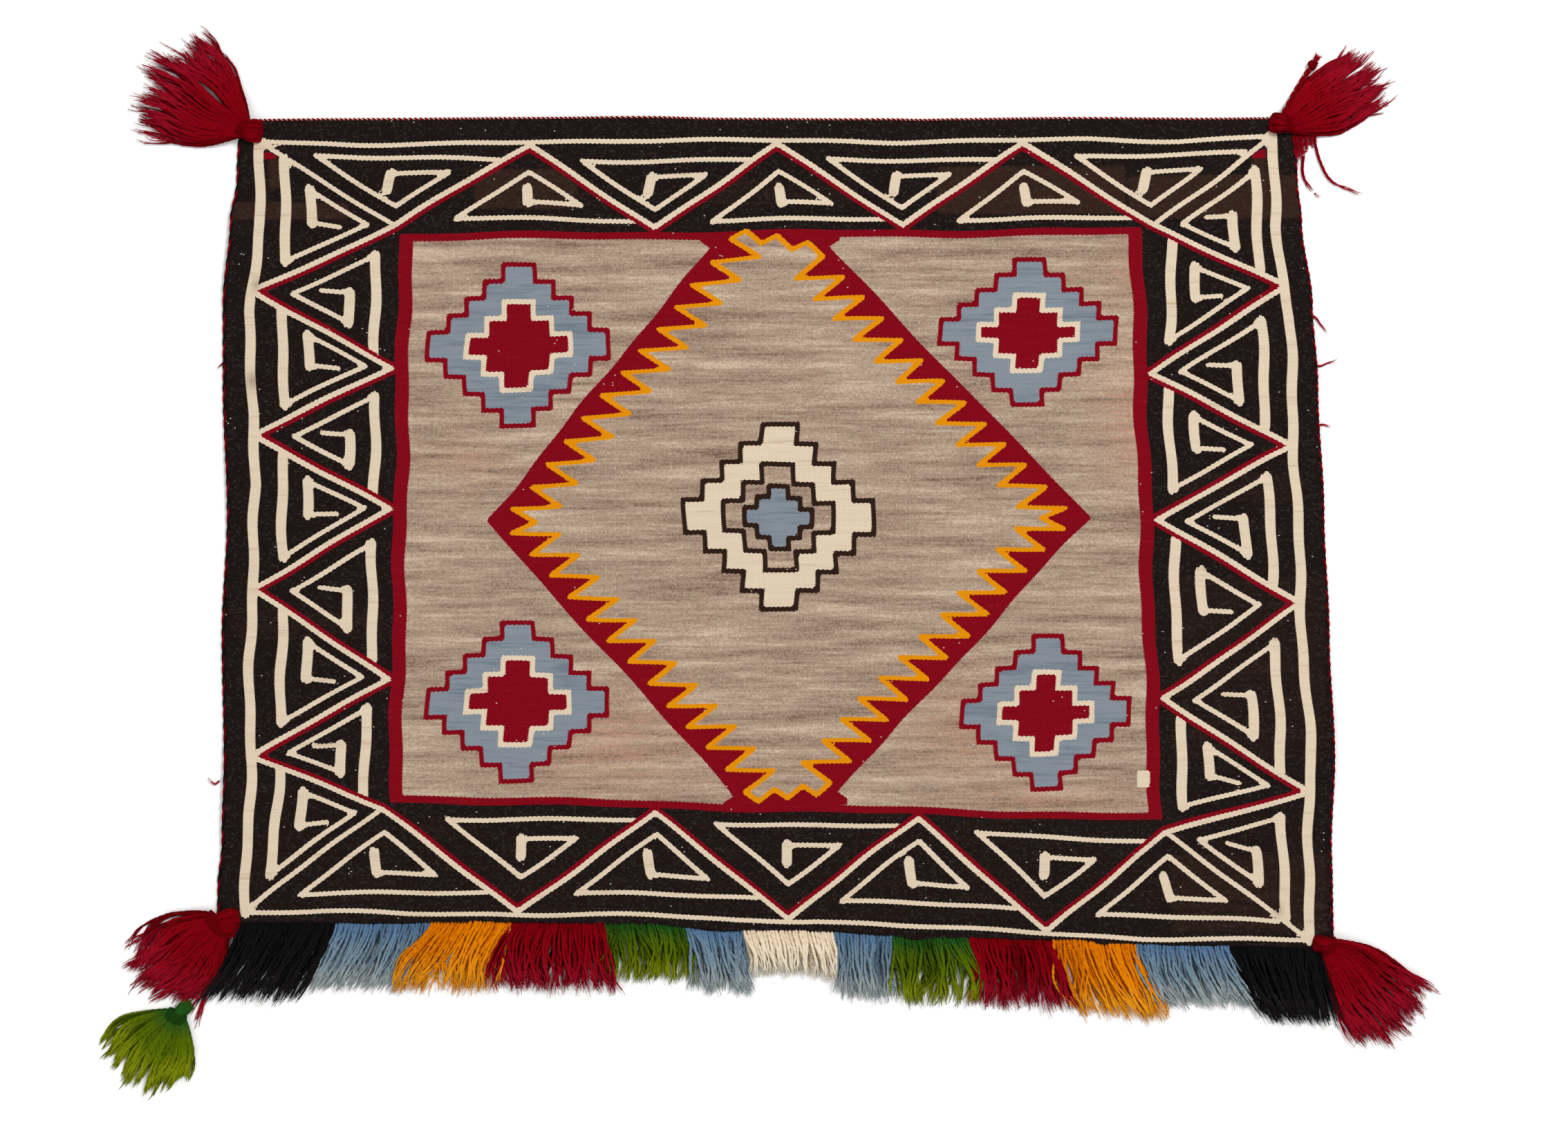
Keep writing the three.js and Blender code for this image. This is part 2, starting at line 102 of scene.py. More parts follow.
# Sizes of the woven pattern

LEVEL_LINE_HALF = 2.1
UPRIGHT_LINE_HALF = 4.8
LINE_SLACK = 0.75
LINE_CORE = 1.2
LINE_TO_APEX = 5.5
ZIGZAG_WHITE = 4.8
ZIGZAG_RED = 3.8

# How far the outer white line lies inside the cloth's edge, at places along each side.
LINE_DEPTHS = {
    "top": [(-437, 22.0), (-339, 24.7), (-242, 22.0), (-144, 20.7), (-47, 20.0), (441, 20.0)],
    "bottom": [(-437, 12.7), (-339, 9.8), (-144, 9.6), (51, 12.4), (246, 8.3), (441, 6.6)],
    "left": [
        (-299, 24.5), (-234, 22.6), (-169, 25.4), (-39, 24.6), (26, 26.8), (91, 24.6), (299, 25.7),
    ],
    "right": [
        (-299, 20.2), (-234, 21.2), (-169, 24.0), (-104, 22.2), (-39, 25.2), (91, 23.6),
        (221, 20.6), (299, 23.6),
    ],
}

# Where the border's zigzag turns: outer apexes at the outer white line, inner apexes at the
# red frame, each given by the place along its side.
APEX_PLACES = {
    "top": {"outer": [-232, 2, 232], "inner": [-114, 118]},
    "bottom": {"outer": [-242, 11, 255], "inner": [-112, 133]},
    "left": {"outer": [-217, -59, 85, 219], "inner": [-144, 15, 148]},
    "right": {"outer": [226, 74, -74, -249], "inner": [142, 7, -162]},
}

# Corners of the outer white line, of the red frame's middle line, and of the zigzag between.
OUTER_CORNERS = {
    "top_left": (-483.5, 361.5), "top_right": (465.5, 366),
    "bottom_right": (500, -389), "bottom_left": (-499, -363),
}
FRAME_CORNERS = {
    "top_left": (-348, 271), "top_right": (338, 276),
    "bottom_right": (357, -274), "bottom_left": (-357, -256),
}
ZIGZAG_CORNERS = {
    "top_left": (-356, 281), "top_right": (354, 280),
    "bottom_right": (363, -288), "bottom_left": (-370, -264),
}
FRAME_LEVEL_HALF = 3.4
FRAME_UPRIGHT_HALF = 6.4
INNER_APEX_GAP = 5.0

# Ends of each side, in the order in which its apexes are listed, and whether the frets
# whose base is on the red frame start at the far end of that base.
SIDES = {
    "top": ("top_left", "top_right", True),
    "bottom": ("bottom_left", "bottom_right", True),
    "left": ("bottom_left", "top_left", False),
    "right": ("top_right", "bottom_right", False),
}

# The way out of the cloth on each side.
OUTWARD = {"top": (0, 1), "bottom": (0, -1), "left": (-1, 0), "right": (1, 0)}

# Turns of a fret, as shares of its triangle's start corner, far corner and apex. Those that
# stand on the red frame's upper and lower side are a little lower.
FRET_TURNS = [
    (0.81, 0.03, 0.16), (0.13, 0.71, 0.16), (0.13, 0.12, 0.75),
    (0.53, 0.13, 0.34), (0.31, 0.34, 0.35), (0.20, 0.25, 0.55),
]
LOW_FRET_TURNS = [
    (0.87, 0.02, 0.11), (0.18, 0.71, 0.11), (0.16, 0.15, 0.69),
    (0.56, 0.14, 0.30), (0.35, 0.34, 0.31), (0.26, 0.26, 0.48),
]

# How far the left side's frets stand in from their place between the lines.
LEFT_FRET_INSET = 3.4

# The diamond: its side corners, and its corners near the red frame.
DIAMOND = {"left": (-271.5, 4.5), "right": (295.5, 7.5)}
DIAMOND_TOP = {"left": (-62, 262), "right": (50, 261.5)}
DIAMOND_BOTTOM = {"left": (-39, -253), "right": (57, -251)}
DIAMOND_FLARE = (9, 6)

# The gold serration inside the diamond's red band.
TEETH_ON_A_SIDE = 12
TOOTH_PITCH = 27.2
FIRST_TOOTH = 24.0
TOOTH_OUTER_DEPTH = 10.5
TOOTH_INNER_DEPTH = 43.0
TOOTH_OVERHANG = 3.0
NOTCH_FROM_CORNER = 46.0
END_WAVE_HEIGHT = 10.0
END_WAVES = 3
GOLD_LEVEL_HALF = 1.9
GOLD_UPRIGHT_HALF = 3.1
GOLD_HALF = 2.4

# Stepped lozenges in the corners of the field: middle, half width and half height of each.
CORNER_FIGURES = table("x y width height", [
    (-242, 169, 86, 77), (237, 182, 84, 70), (-243, -166, 86, 76), (254, -176, 80, 73),
])
FIGURE_STEPS = 5
FIGURE_OUTLINE = 4.4
FIGURE_BLUE = 14.0
FIGURE_WHITE = 4.6

# The stepped lozenge and cross in the middle of the diamond.
CENTRE = (3, 8)
LOZENGE = {"width": 92, "height": 90, "steps": 5}
LOZENGE_OUTLINE = 4.6
LOZENGE_WHITE = 15.0
CROSS = {"width": 34, "height": 32, "steps": 3}

# A short mend in cream yarn near the lower right corner of the field.
MEND = {"x": 345.5, "y": -238, "width": 12, "height": 16}

# Small red marks between the white lines in the two upper corners of the border.
CORNER_MARKS = [
    [(-479, 351.5), (-474, 351.5), (-461.5, 344.5), (-479, 344.5)],
    [(447, 348.5), (454, 353), (460, 354.5), (460, 345.5), (447, 345.5)],
]

# Bands where the black yarn is a natural brown: sides, and how strong the brown is.
BROWN_BANDS = table("left right low high share", [
    (-512, -400, 287, 304, 0.95), (-478, -458, 316, 345, 0.9), (446, 462, 318, 346, 0.9),
    (-285, -185, 296, 336, 0.8), (-70, 75, 300, 326, 0.5), (150, 330, 292, 338, 0.9),
    (330, 495, 288, 330, 0.85), (-505, 505, -372, -268, 0.42), (-512, -365, -292, -232, 0.4),
    (368, 520, -222, -46, 0.5), (368, 520, -384, -306, 0.6), (368, 500, 20, 52, 0.5),
    (-512, -365, -108, -76, 0.5),
])
BAND_SIDE_BLUR = 8.0
BAND_END_BLUR = 5.0

# Soiled places on the cream lines.
SOILED = table("x y half_x half_y share", [
    (-491, 136, 7, 8, 0.9), (-488, 226, 4, 6, 0.7), (-448, 168, 4, 3, 0.5), (472, -361, 5, 6, 0.7),
])

# Places where red or orange dye has bled into the field.
DYE_STAINS = table("x y half_x half_y share", [
    (330, 100, 26, 60, 0.6), (190, -190, 60, 50, 0.45), (-150, -205, 70, 45, 0.5),
    (-290, 60, 40, 22, 0.35), (250, -256, 90, 12, 0.4), (330, 240, 18, 30, 0.35),
])


def smoothstep(value, low, high):
    """0 up to low, 1 from high, smooth between."""
    share = np.clip((value - low) / (high - low), 0, 1)
    return share * share * (3 - 2 * share)


def read(entries, column, place):
    """Smooth value of a table's column at each place along its 'at' column."""
    at, values = entries["at"], entries[column]
    row = np.clip(np.searchsorted(at, place, side="right") - 1, 0, len(at) - 2)
    share = smoothstep(place, at[row], at[row + 1])
    return values[row] + (values[row + 1] - values[row]) * share


def lengths(path):
    """Length along a path at each of its points."""
    return np.concatenate([[0], np.cumsum(np.linalg.norm(np.diff(path, axis=0), axis=1))])


def unit_rows(vectors):
    """The same directions with length 1."""
    return vectors / np.maximum(np.linalg.norm(vectors, axis=-1, keepdims=True), 1e-9)


def cloth_plan(u, v):
    """Plan of the cloth at shares u, left to right, and v, lower to upper edge."""
    x = SIDE_EDGES["left"][0] + (SIDE_EDGES["right"][0] - SIDE_EDGES["left"][0]) * u
    y = np.zeros_like(x)
    for _ in range(4):
        bottom, top = read(END_EDGES, "bottom", x), read(END_EDGES, "top", x)
        y = bottom + (top - bottom) * v
        left, right = read(SIDE_EDGES, "left", y), read(SIDE_EDGES, "right", y)
        x = left + (right - left) * u
    return np.stack([x, y], axis=-1)


def bump(offset):
    """A smooth hump of height 1 between -1 and 1."""
    return np.where(np.abs(offset) < 1, np.cos(offset * np.pi / 2) ** 2, 0.0)


def lift(x, y):
    """Height of the cloth's underside above the floor."""
    total = np.zeros(np.broadcast(x, y).shape)
    for middle_x, middle_y, half_x, half_y, height in zip(*RIPPLES.values()):
        total += height * bump((x - middle_x) / half_x) * bump((y - middle_y) / half_y)
    return total


def frame_shift():
    """From the plan's origin to the frame's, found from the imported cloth's box."""
    u, v = np.meshgrid(np.linspace(0, 1, 29), np.linspace(0, 1, 23))
    low = cloth_plan(u, v).reshape(-1, 2).min(axis=0)
    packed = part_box("blanket")[0]
    return np.array([*(np.array(packed[:2]) * 1000 - low), 0])


SHIFT = frame_shift()


def place(points):
    """Points of the plan, in millimetres, as metres in the model's frame."""
    return (np.asarray(points, float) + SHIFT) / 1000


def colour(red, green, blue):
    """Linear colour from the 0 to 255 values of a display."""

    def linear(value):
        share = value / 255
        return share / 12.92 if share <= 0.04045 else ((share + 0.055) / 1.055) ** 2.4

    return (linear(red), linear(green), linear(blue), 1.0)


SPECULAR_LEVEL = 0.03
WOOL_ROUGHNESS = 1.0


class Shader:
    """One material's nodes, with short calls for the kinds that this script uses."""

    def __init__(self, name, roughness):
        self.material = bpy.data.materials.new(name)
        self.material.use_nodes = True
        self.tree = self.material.node_tree
        self.surface = self.tree.nodes["Principled BSDF"]
        self.surface.inputs["Roughness"].default_value = roughness
        self.surface.inputs["Specular IOR Level"].default_value = SPECULAR_LEVEL

    def node(self, kind, values=(), **settings):
        """A node with its settings, and its inputs set or linked by number."""
        made = self.tree.nodes.new(kind)
        for name, setting in settings.items():
            setattr(made, name, setting)
        for slot, value in dict(values).items():
            if isinstance(value, bpy.types.NodeSocket):
                self.tree.links.new(value, made.inputs[slot])
            else:
                made.inputs[slot].default_value = value
        return made

    def math(self, operation, *values):
        return self.node("ShaderNodeMath", enumerate(values), operation=operation).outputs[0]

    def mix(self, share, first, second, blend="MIX"):
        values = {0: share, 6: first, 7: second}
        return self.node("ShaderNodeMix", values, data_type="RGBA", blend_type=blend).outputs[2]

    def blend(self, share, first, second):
        """Number between first and second."""
        return self.node("ShaderNodeMix", {0: share, 2: first, 3: second}).outputs[0]

    def attribute(self, name):
        return self.node("ShaderNodeAttribute", attribute_name=name).outputs["Fac"]

    def combine(self, x, y, z=0.0):
        return self.node("ShaderNodeCombineXYZ", {0: x, 1: y, 2: z}).outputs[0]

    def noise(self, vector, detail):
        made = self.node("ShaderNodeTexNoise", {"Vector": vector, "Scale": 1.0, "Detail": detail})
        return made.outputs["Fac"]

    def chance(self, vector):
        """The same random number wherever the vector is the same."""
        return self.node("ShaderNodeTexWhiteNoise", {"Vector": vector}).outputs["Value"]

    def between(self, value, low, high):
        """0 where the value is under low, 1 where it is over high, smooth between."""
        values = {"Value": value, "From Min": low, "From Max": high}
        made = self.node("ShaderNodeMapRange", values, interpolation_type="SMOOTHSTEP")
        return made.outputs["Result"]

    def finish(self, base, height, distance):
        """Links the colour and the relief, whose full height is distance in millimetres."""
        self.tree.links.new(base, self.surface.inputs["Base Color"])
        values = {"Height": height, "Strength": 1.0, "Distance": distance / 1000}
        relief = self.node("ShaderNodeBump", values)
        self.tree.links.new(relief.outputs["Normal"], self.surface.inputs["Normal"])
        return self.material


def add_piece(name, points, faces, material, replaced=()):
    """A smooth mesh piece on the body, in place of the CAD nodes named."""
    mesh = bpy.data.meshes.new(name)
    mesh.from_pydata(np.asarray(points).tolist(), [], [list(face) for face in faces])
    mesh.materials.append(material)
    mesh.shade_smooth()
    piece = bpy.data.objects.new(name, mesh)
    bpy.context.scene.collection.objects.link(piece)
    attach(piece, "root")
    if replaced:
        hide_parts(*replaced)
    return piece


def add_attribute(piece, name, values):
    stored = piece.data.attributes.new(name, "FLOAT", "POINT")
    stored.data.foreach_set("value", np.asarray(values, np.float32).ravel())


# The woven pattern, as distances from its lines


def line_distance(points, start, end):
    """Distance of each point from the straight line between two points."""
    run = end - start
    share = np.clip(((points - start) @ run) / max(run @ run, 1e-9), 0, 1)
    return np.linalg.norm(points - start - share[:, None] * run, axis=1)


def square_distance(points, start, end):
    """Larger of the distances along x and y from a level or upright line."""
    low, high = np.minimum(start, end), np.maximum(start, end)
    away = np.maximum(np.maximum(low - points, points - high), 0)
    return away.max(axis=1)


def signed_distance(points, corners, spread=None, measure=line_distance):
    """Distance from a closed outline, negative inside. spread scales it for each run."""
    corners = np.asarray(corners, float)
    nearest = np.full(len(points), np.inf)
    scaled = np.full(len(points), np.inf)
    inside = np.zeros(len(points), bool)
    for start, end in zip(corners, np.roll(corners, -1, axis=0)):
        distance = measure(points, start, end)
        factor = spread(end - start) if spread else 1.0
        closer = distance < nearest
        nearest = np.where(closer, distance, nearest)
        scaled = np.where(closer, distance * factor, scaled)
        crosses = (start[1] > points[:, 1]) != (end[1] > points[:, 1])
        rise = end[1] - start[1] or 1.0
        meets = start[0] + (points[:, 1] - start[1]) / rise * (end[0] - start[0])
        inside ^= crosses & (points[:, 0] < meets)
    return np.where(inside, -scaled, scaled)


def uprightness(run):
    """0 for a level run and 1 for an upright one."""
    return (run[1] / max(np.linalg.norm(run), 1e-9)) ** 2


class Strokes:
    """Distances from a set of lines that are wider where they run upright.

    near is the distance from the nearest line's edge. across is the distance from that line's
    middle, with a sign for its side and scaled to a line of even width, so that it can be
    read between the points of a coarse grid.
    """

    def __init__(self, points):
        self.points = points
        self.near = np.full(len(points), np.inf)
        self.across = np.full(len(points), np.inf)

    def add(self, run):
        for start, end in zip(run, run[1:]):
            start, end = np.asarray(start, float), np.asarray(end, float)
            upright = uprightness(end - start) ** 3
            half = LEVEL_LINE_HALF + (UPRIGHT_LINE_HALF - LEVEL_LINE_HALF) * upright
            distance = line_distance(self.points, start, end)
            away, along = self.points - start, end - start
            side = np.sign(away[:, 0] * along[1] - away[:, 1] * along[0])
            closer = distance - half < self.near
            self.near = np.where(closer, distance - half, self.near)
            scaled = side * distance * LEVEL_LINE_HALF / half
            self.across = np.where(closer, scaled, self.across)


def outer_line(side, at):
    """Point of the outer white line at a place along a side."""
    depth = float(read(table("at depth", LINE_DEPTHS[side]), "depth", np.array(at)))
    edges = END_EDGES if side in ("top", "bottom") else SIDE_EDGES
    edge = float(read(edges, side, np.array(at)))
    if side in ("top", "right"):
        depth = -depth
    return (at, edge + depth) if edges is END_EDGES else (edge + depth, at)


def frame_line(side, at):
    """Point of the red frame's middle line at a place along a side."""
    start, end = (FRAME_CORNERS[name] for name in SIDES[side][:2])
    axis = 0 if side in ("top", "bottom") else 1
    share = (at - start[axis]) / (end[axis] - start[axis])
    other = start[1 - axis] + (end[1 - axis] - start[1 - axis]) * share
    return (at, other) if axis == 0 else (other, at)


def moved(point, side, distance):
    """A point moved towards the cloth's edge on that side."""
    x, y = OUTWARD[side]
    return (point[0] + x * distance, point[1] + y * distance)


def side_apexes(side):
    """The zigzag's outer and inner apexes on one side."""
    places = APEX_PLACES[side]
    outer = [moved(outer_line(side, at), side, -LINE_TO_APEX) for at in places["outer"]]
    inner = [moved(frame_line(side, at), side, INNER_APEX_GAP) for at in places["inner"]]
    return outer, inner


def zigzag_outline():
    """The closed zigzag between its white and its red line, clockwise from the upper left."""
    corners = []
    for side, reverse in (("top", False), ("right", False), ("bottom", True), ("left", False)):
        outer, inner = side_apexes(side)
        start, end, _ = SIDES[side]
        run = [ZIGZAG_CORNERS[start]]
        for i, apex in enumerate(outer):
            run.append(apex)
            if i < len(inner):
                run.append(inner[i])
        if reverse:
            run = [ZIGZAG_CORNERS[end]] + run[:0:-1]
        corners += run
    return corners


def frets():
    """Turns of every fret on the cloth."""
    every = []
    for side, (start, end, level) in SIDES.items():
        inset = (LEFT_FRET_INSET if side == "left" else 0.0, 0.0)
        outer, inner = side_apexes(side)
        outer = [OUTER_CORNERS[start], *outer, OUTER_CORNERS[end]]
        inner = [ZIGZAG_CORNERS[start], *inner, ZIGZAG_CORNERS[end]]
        for i, apex in enumerate(inner):
            every.append(np.array(FRET_TURNS) @ (outer[i + 1], outer[i], apex) + inset)
        for i, apex in enumerate(outer[1:-1]):
            near, far = inner[i], inner[i + 1]
            if level:
                every.append(np.array(LOW_FRET_TURNS) @ (far, near, apex))
            else:
                every.append(np.array(FRET_TURNS) @ (near, far, apex))
    return every


def white_lines(points):
    """The outer white line, the lines into its corners, and the frets."""
    strokes = Strokes(points)
    stations = {
        "top": np.linspace(-483, 465, 12),
        "bottom": np.linspace(-499, 500, 14),
        "left": np.linspace(-363, 361, 10),
        "right": np.linspace(366, -389, 10),
    }
    for side, places in stations.items():
        start, end, _ = SIDES[side]
        between = [outer_line(side, at) for at in places[1:-1]]
        strokes.add([OUTER_CORNERS[start], *between, OUTER_CORNERS[end]])
    for name, corner in OUTER_CORNERS.items():
        strokes.add([corner, ZIGZAG_CORNERS[name]])
    for turns in frets():
        strokes.add(turns)
    return strokes


def frame_outline(grow):
    """The red frame's outer outline, or its inner one where grow is -1."""
    corners = np.array([*FRAME_CORNERS.values()], float)
    return corners + np.sign(corners) * (FRAME_UPRIGHT_HALF, FRAME_LEVEL_HALF) * grow


def diamond_outline():
    """The diamond's outline, clockwise from the left end of its upper corner."""
    (flare_x, flare_y), corners = DIAMOND_FLARE, []
    for ends, direction in ((DIAMOND_TOP, 1), (DIAMOND_BOTTOM, -1)):
        (left_x, left_y), (right_x, right_y) = ends["left"], ends["right"]
        reach = direction * flare_y
        run = [(left_x, left_y)]
        run += [(left_x - flare_x, left_y + i * reach) for i in (1, 2)]
        run += [(right_x + flare_x, right_y + i * reach) for i in (2, 1)]
        run.append((right_x, right_y))
        corners += run + [DIAMOND["right"]] if direction == 1 else run[::-1] + [DIAMOND["left"]]
    return corners


def serrated_side(tip, end):
    """Turns of the gold line along one side of the diamond, from its side corner."""
    tip, end = np.array(tip, float), np.array(end, float)
    along = unit_rows(end - tip)
    inward = np.array([-along[1], along[0]])
    if inward[0] * tip[0] > 0:
        inward = -inward
    turns = []
    for tooth in range(TEETH_ON_A_SIDE + 1):
        reach = FIRST_TOOTH + TOOTH_PITCH * tooth
        turns.append(tip + along * reach + inward * TOOTH_OUTER_DEPTH)
        if tooth < TEETH_ON_A_SIDE:
            reach += TOOTH_PITCH + TOOTH_OVERHANG
            turns.append(tip + along * reach + inward * TOOTH_INNER_DEPTH)
    return turns


def end_wave(start, end, direction):
    """The small waves that join two serrated sides, from start to end."""
    turns = []
    steps = END_WAVES * 2
    for step in range(1, steps):
        point = start + (end - start) * step / steps
        turns.append(point + np.array([0, direction * END_WAVE_HEIGHT * (step % 2)]))
    return turns


def serration_outline():
    """The gold line's closed middle line, clockwise from the left corner's notch."""
    left, right = DIAMOND["left"], DIAMOND["right"]
    upper_left, upper_right, lower_left, lower_right = (
        serrated_side(DIAMOND[name], ends[name])
        for ends in (DIAMOND_TOP, DIAMOND_BOTTOM)
        for name in ("left", "right")
    )
    turns = [np.array([left[0] + NOTCH_FROM_CORNER, left[1]]), *upper_left]
    turns += end_wave(upper_left[-1], upper_right[-1], 1)
    turns += upper_right[::-1] + [np.array([right[0] - NOTCH_FROM_CORNER, right[1]])]
    turns += lower_right + end_wave(lower_right[-1], lower_left[-1], -1)
    return turns + lower_left[::-1]


def gold_spread(run):
    """Scale of the distance from the gold line, which is wider where it runs upright."""
    upright = uprightness(run)
    return GOLD_HALF / (GOLD_LEVEL_HALF + (GOLD_UPRIGHT_HALF - GOLD_LEVEL_HALF) * upright)


def stepped_lozenge(x, y, width, height, steps):
    """Outline of a lozenge with stepped sides round (x, y). width and height are halves."""
    quarter = []
    for step in range(steps):
        outward = width * (steps - step) / steps
        quarter.append((outward, height * step / steps))
        quarter.append((outward, height * (step + 1) / steps))
    outline = quarter + [(-along, up) for along, up in quarter[::-1]]
    outline += [(-along, -up) for along, up in quarter]
    outline += [(along, -up) for along, up in quarter[::-1]]
    return [(x + along, y + up) for along, up in outline]


def stepped_distance(points, corners):
    """Signed distance from a stepped outline, whose corners stay square."""
    return signed_distance(points, corners, measure=square_distance)


def box_distance(points, x, y, width, height):
    """Distance from a level box round (x, y), negative inside."""
    away = np.abs(points - (x, y)) - (width / 2, height / 2)
    outside = np.linalg.norm(np.maximum(away, 0), axis=1)
    return outside + np.minimum(away.max(axis=1), 0)


def soft_bands(points):
    """How brown the black yarn is at each point."""
    total = np.zeros(len(points))
    for left, right, low, high, share in zip(*BROWN_BANDS.values()):
        from_side = np.minimum(points[:, 0] - left, right - points[:, 0]) / BAND_SIDE_BLUR
        from_end = np.minimum(points[:, 1] - low, high - points[:, 1]) / BAND_END_BLUR
        inside = np.clip(from_side + 0.5, 0, 1) * np.clip(from_end + 0.5, 0, 1)
        total = np.maximum(total, inside * share)
    return total


def stains(points, places):
    """How strong the listed stains are at each point."""
    total = np.zeros(len(points))
    for x, y, half_x, half_y, share in zip(*places.values()):
        away = ((points[:, 0] - x) / half_x) ** 2 + ((points[:, 1] - y) / half_y) ** 2
        total = np.maximum(total, share * np.exp(-away))
    return total


def hand_wobble(points):
    """The plan with the small unevenness of hand weaving."""
    x, y = points[:, 0], points[:, 1]
    shift_x = 1.3 * np.sin(y / 27 + x / 90) + 0.8 * np.sin(y / 11 + x / 37 + 2)
    shift_y = 1.1 * np.sin(x / 43 + y / 70) + 0.6 * np.sin(x / 19 - y / 31 + 1)
    return points + np.stack([shift_x, shift_y], axis=1)


def pattern_fields(points):
    """Distances in millimetres from each part of the pattern, by name."""
    woven = hand_wobble(points)
    figures = [
        stepped_distance(woven, stepped_lozenge(*figure, FIGURE_STEPS))
        for figure in zip(*CORNER_FIGURES.values())
    ]
    strokes = white_lines(woven)
    marks = [signed_distance(woven, mark) for mark in CORNER_MARKS]
    return {
        "corner_marks": np.min(marks, axis=0),
        "line_edge": strokes.near,
        "line_across": strokes.across,
        "zigzag": signed_distance(woven, zigzag_outline()),
        "frame_outside": signed_distance(woven, frame_outline(1)),
        "frame_inside": signed_distance(woven, frame_outline(-1)),
        "diamond": signed_distance(woven, diamond_outline()),
        "serration": signed_distance(woven, serration_outline(), gold_spread),
        "figures": np.min(figures, axis=0),
        "lozenge": stepped_distance(woven, stepped_lozenge(*CENTRE, **LOZENGE)),
        "cross": stepped_distance(woven, stepped_lozenge(*CENTRE, **CROSS)),
        "mend": box_distance(points, **MEND),
    }


# Distances at which each part of the pattern changes colour.
FIGURE_BLUE_AT = -FIGURE_OUTLINE
FIGURE_WHITE_AT = FIGURE_BLUE_AT - FIGURE_BLUE
FIGURE_CENTRE_AT = FIGURE_WHITE_AT - FIGURE_WHITE
LOZENGE_WHITE_AT = -LOZENGE_OUTLINE
LOZENGE_INNER_AT = LOZENGE_WHITE_AT - LOZENGE_WHITE
LOZENGE_GROUND_AT = LOZENGE_INNER_AT - LOZENGE_OUTLINE
COLOUR_EDGES = {
    "corner_marks": [0],
    "line_edge": [0],
    "zigzag": [ZIGZAG_WHITE, 0, -ZIGZAG_RED],
    "frame_outside": [0],
    "frame_inside": [0],
    "diamond": [0],
    "serration": [GOLD_HALF, -GOLD_HALF],
    "figures": [0, FIGURE_BLUE_AT, FIGURE_WHITE_AT, FIGURE_CENTRE_AT],
    "lozenge": [0, LOZENGE_WHITE_AT, LOZENGE_INNER_AT, LOZENGE_GROUND_AT],
    "cross": [0, LOZENGE_WHITE_AT],
    "mend": [0],
}


def edge_uprightness(fields, plan):
    """How upright the nearest colour edge runs, from 0 to 1, over the grid of the cloth."""
    shape = plan.shape[:2]
    nearest, upright = np.full(shape, np.inf), np.zeros(shape)
    step_x = np.gradient(plan[:, :, 0], axis=1)
    step_y = np.gradient(plan[:, :, 1], axis=0)
    for name, edges in COLOUR_EDGES.items():
        field = fields[name].reshape(shape)
        slope_x = np.gradient(field, axis=1) / step_x
        slope_y = np.gradient(field, axis=0) / step_y
        share = slope_x**2 / np.maximum(slope_x**2 + slope_y**2, 1e-9)
        for edge in edges:
            closer = np.abs(field - edge) < nearest
            nearest = np.where(closer, np.abs(field - edge), nearest)
            upright = np.where(closer, share, upright)
    return upright


# Colours of the cloth's yarns
BLACK = colour(27, 20, 18)
BLACK_DUSTY = colour(74, 67, 64)
BROWN = colour(49, 32, 25)
CREAM = colour(216, 198, 173)
CREAM_STAIN = colour(194, 168, 138)
RED = colour(124, 8, 23)
RED_WORN = colour(138, 22, 35)
BLUE = colour(129, 138, 146)
BLUE_DARK = colour(108, 119, 131)
GOLD = colour(218, 137, 8)
FIELD_LIGHT = colour(203, 183, 159)
FIELD_MIDDLE = colour(163, 139, 120)
FIELD_DARK = colour(108, 87, 73)
OUTLINE = colour(44, 29, 22)
DYE = colour(186, 120, 92)
SOIL = colour(96, 70, 52)
WARP_FLECK = colour(205, 196, 180)


# Noises of the wool: scale along x and along y, seed and detail of each.
WOOL_NOISES = {
    "streak": (0.007, 0.085, 0.0, 4.0),
    "fine": (0.03, 0.4, 5.0, 3.0),
    "mottle": (0.3, 0.42, 9.0, 2.0),
    "grain": (0.8, 1.3, 7.0, 3.0),
    "band": (0.012, 0.22, 2.0, 3.0),
    "flecks": (0.014, 0.02, 12.0, 2.0),
}


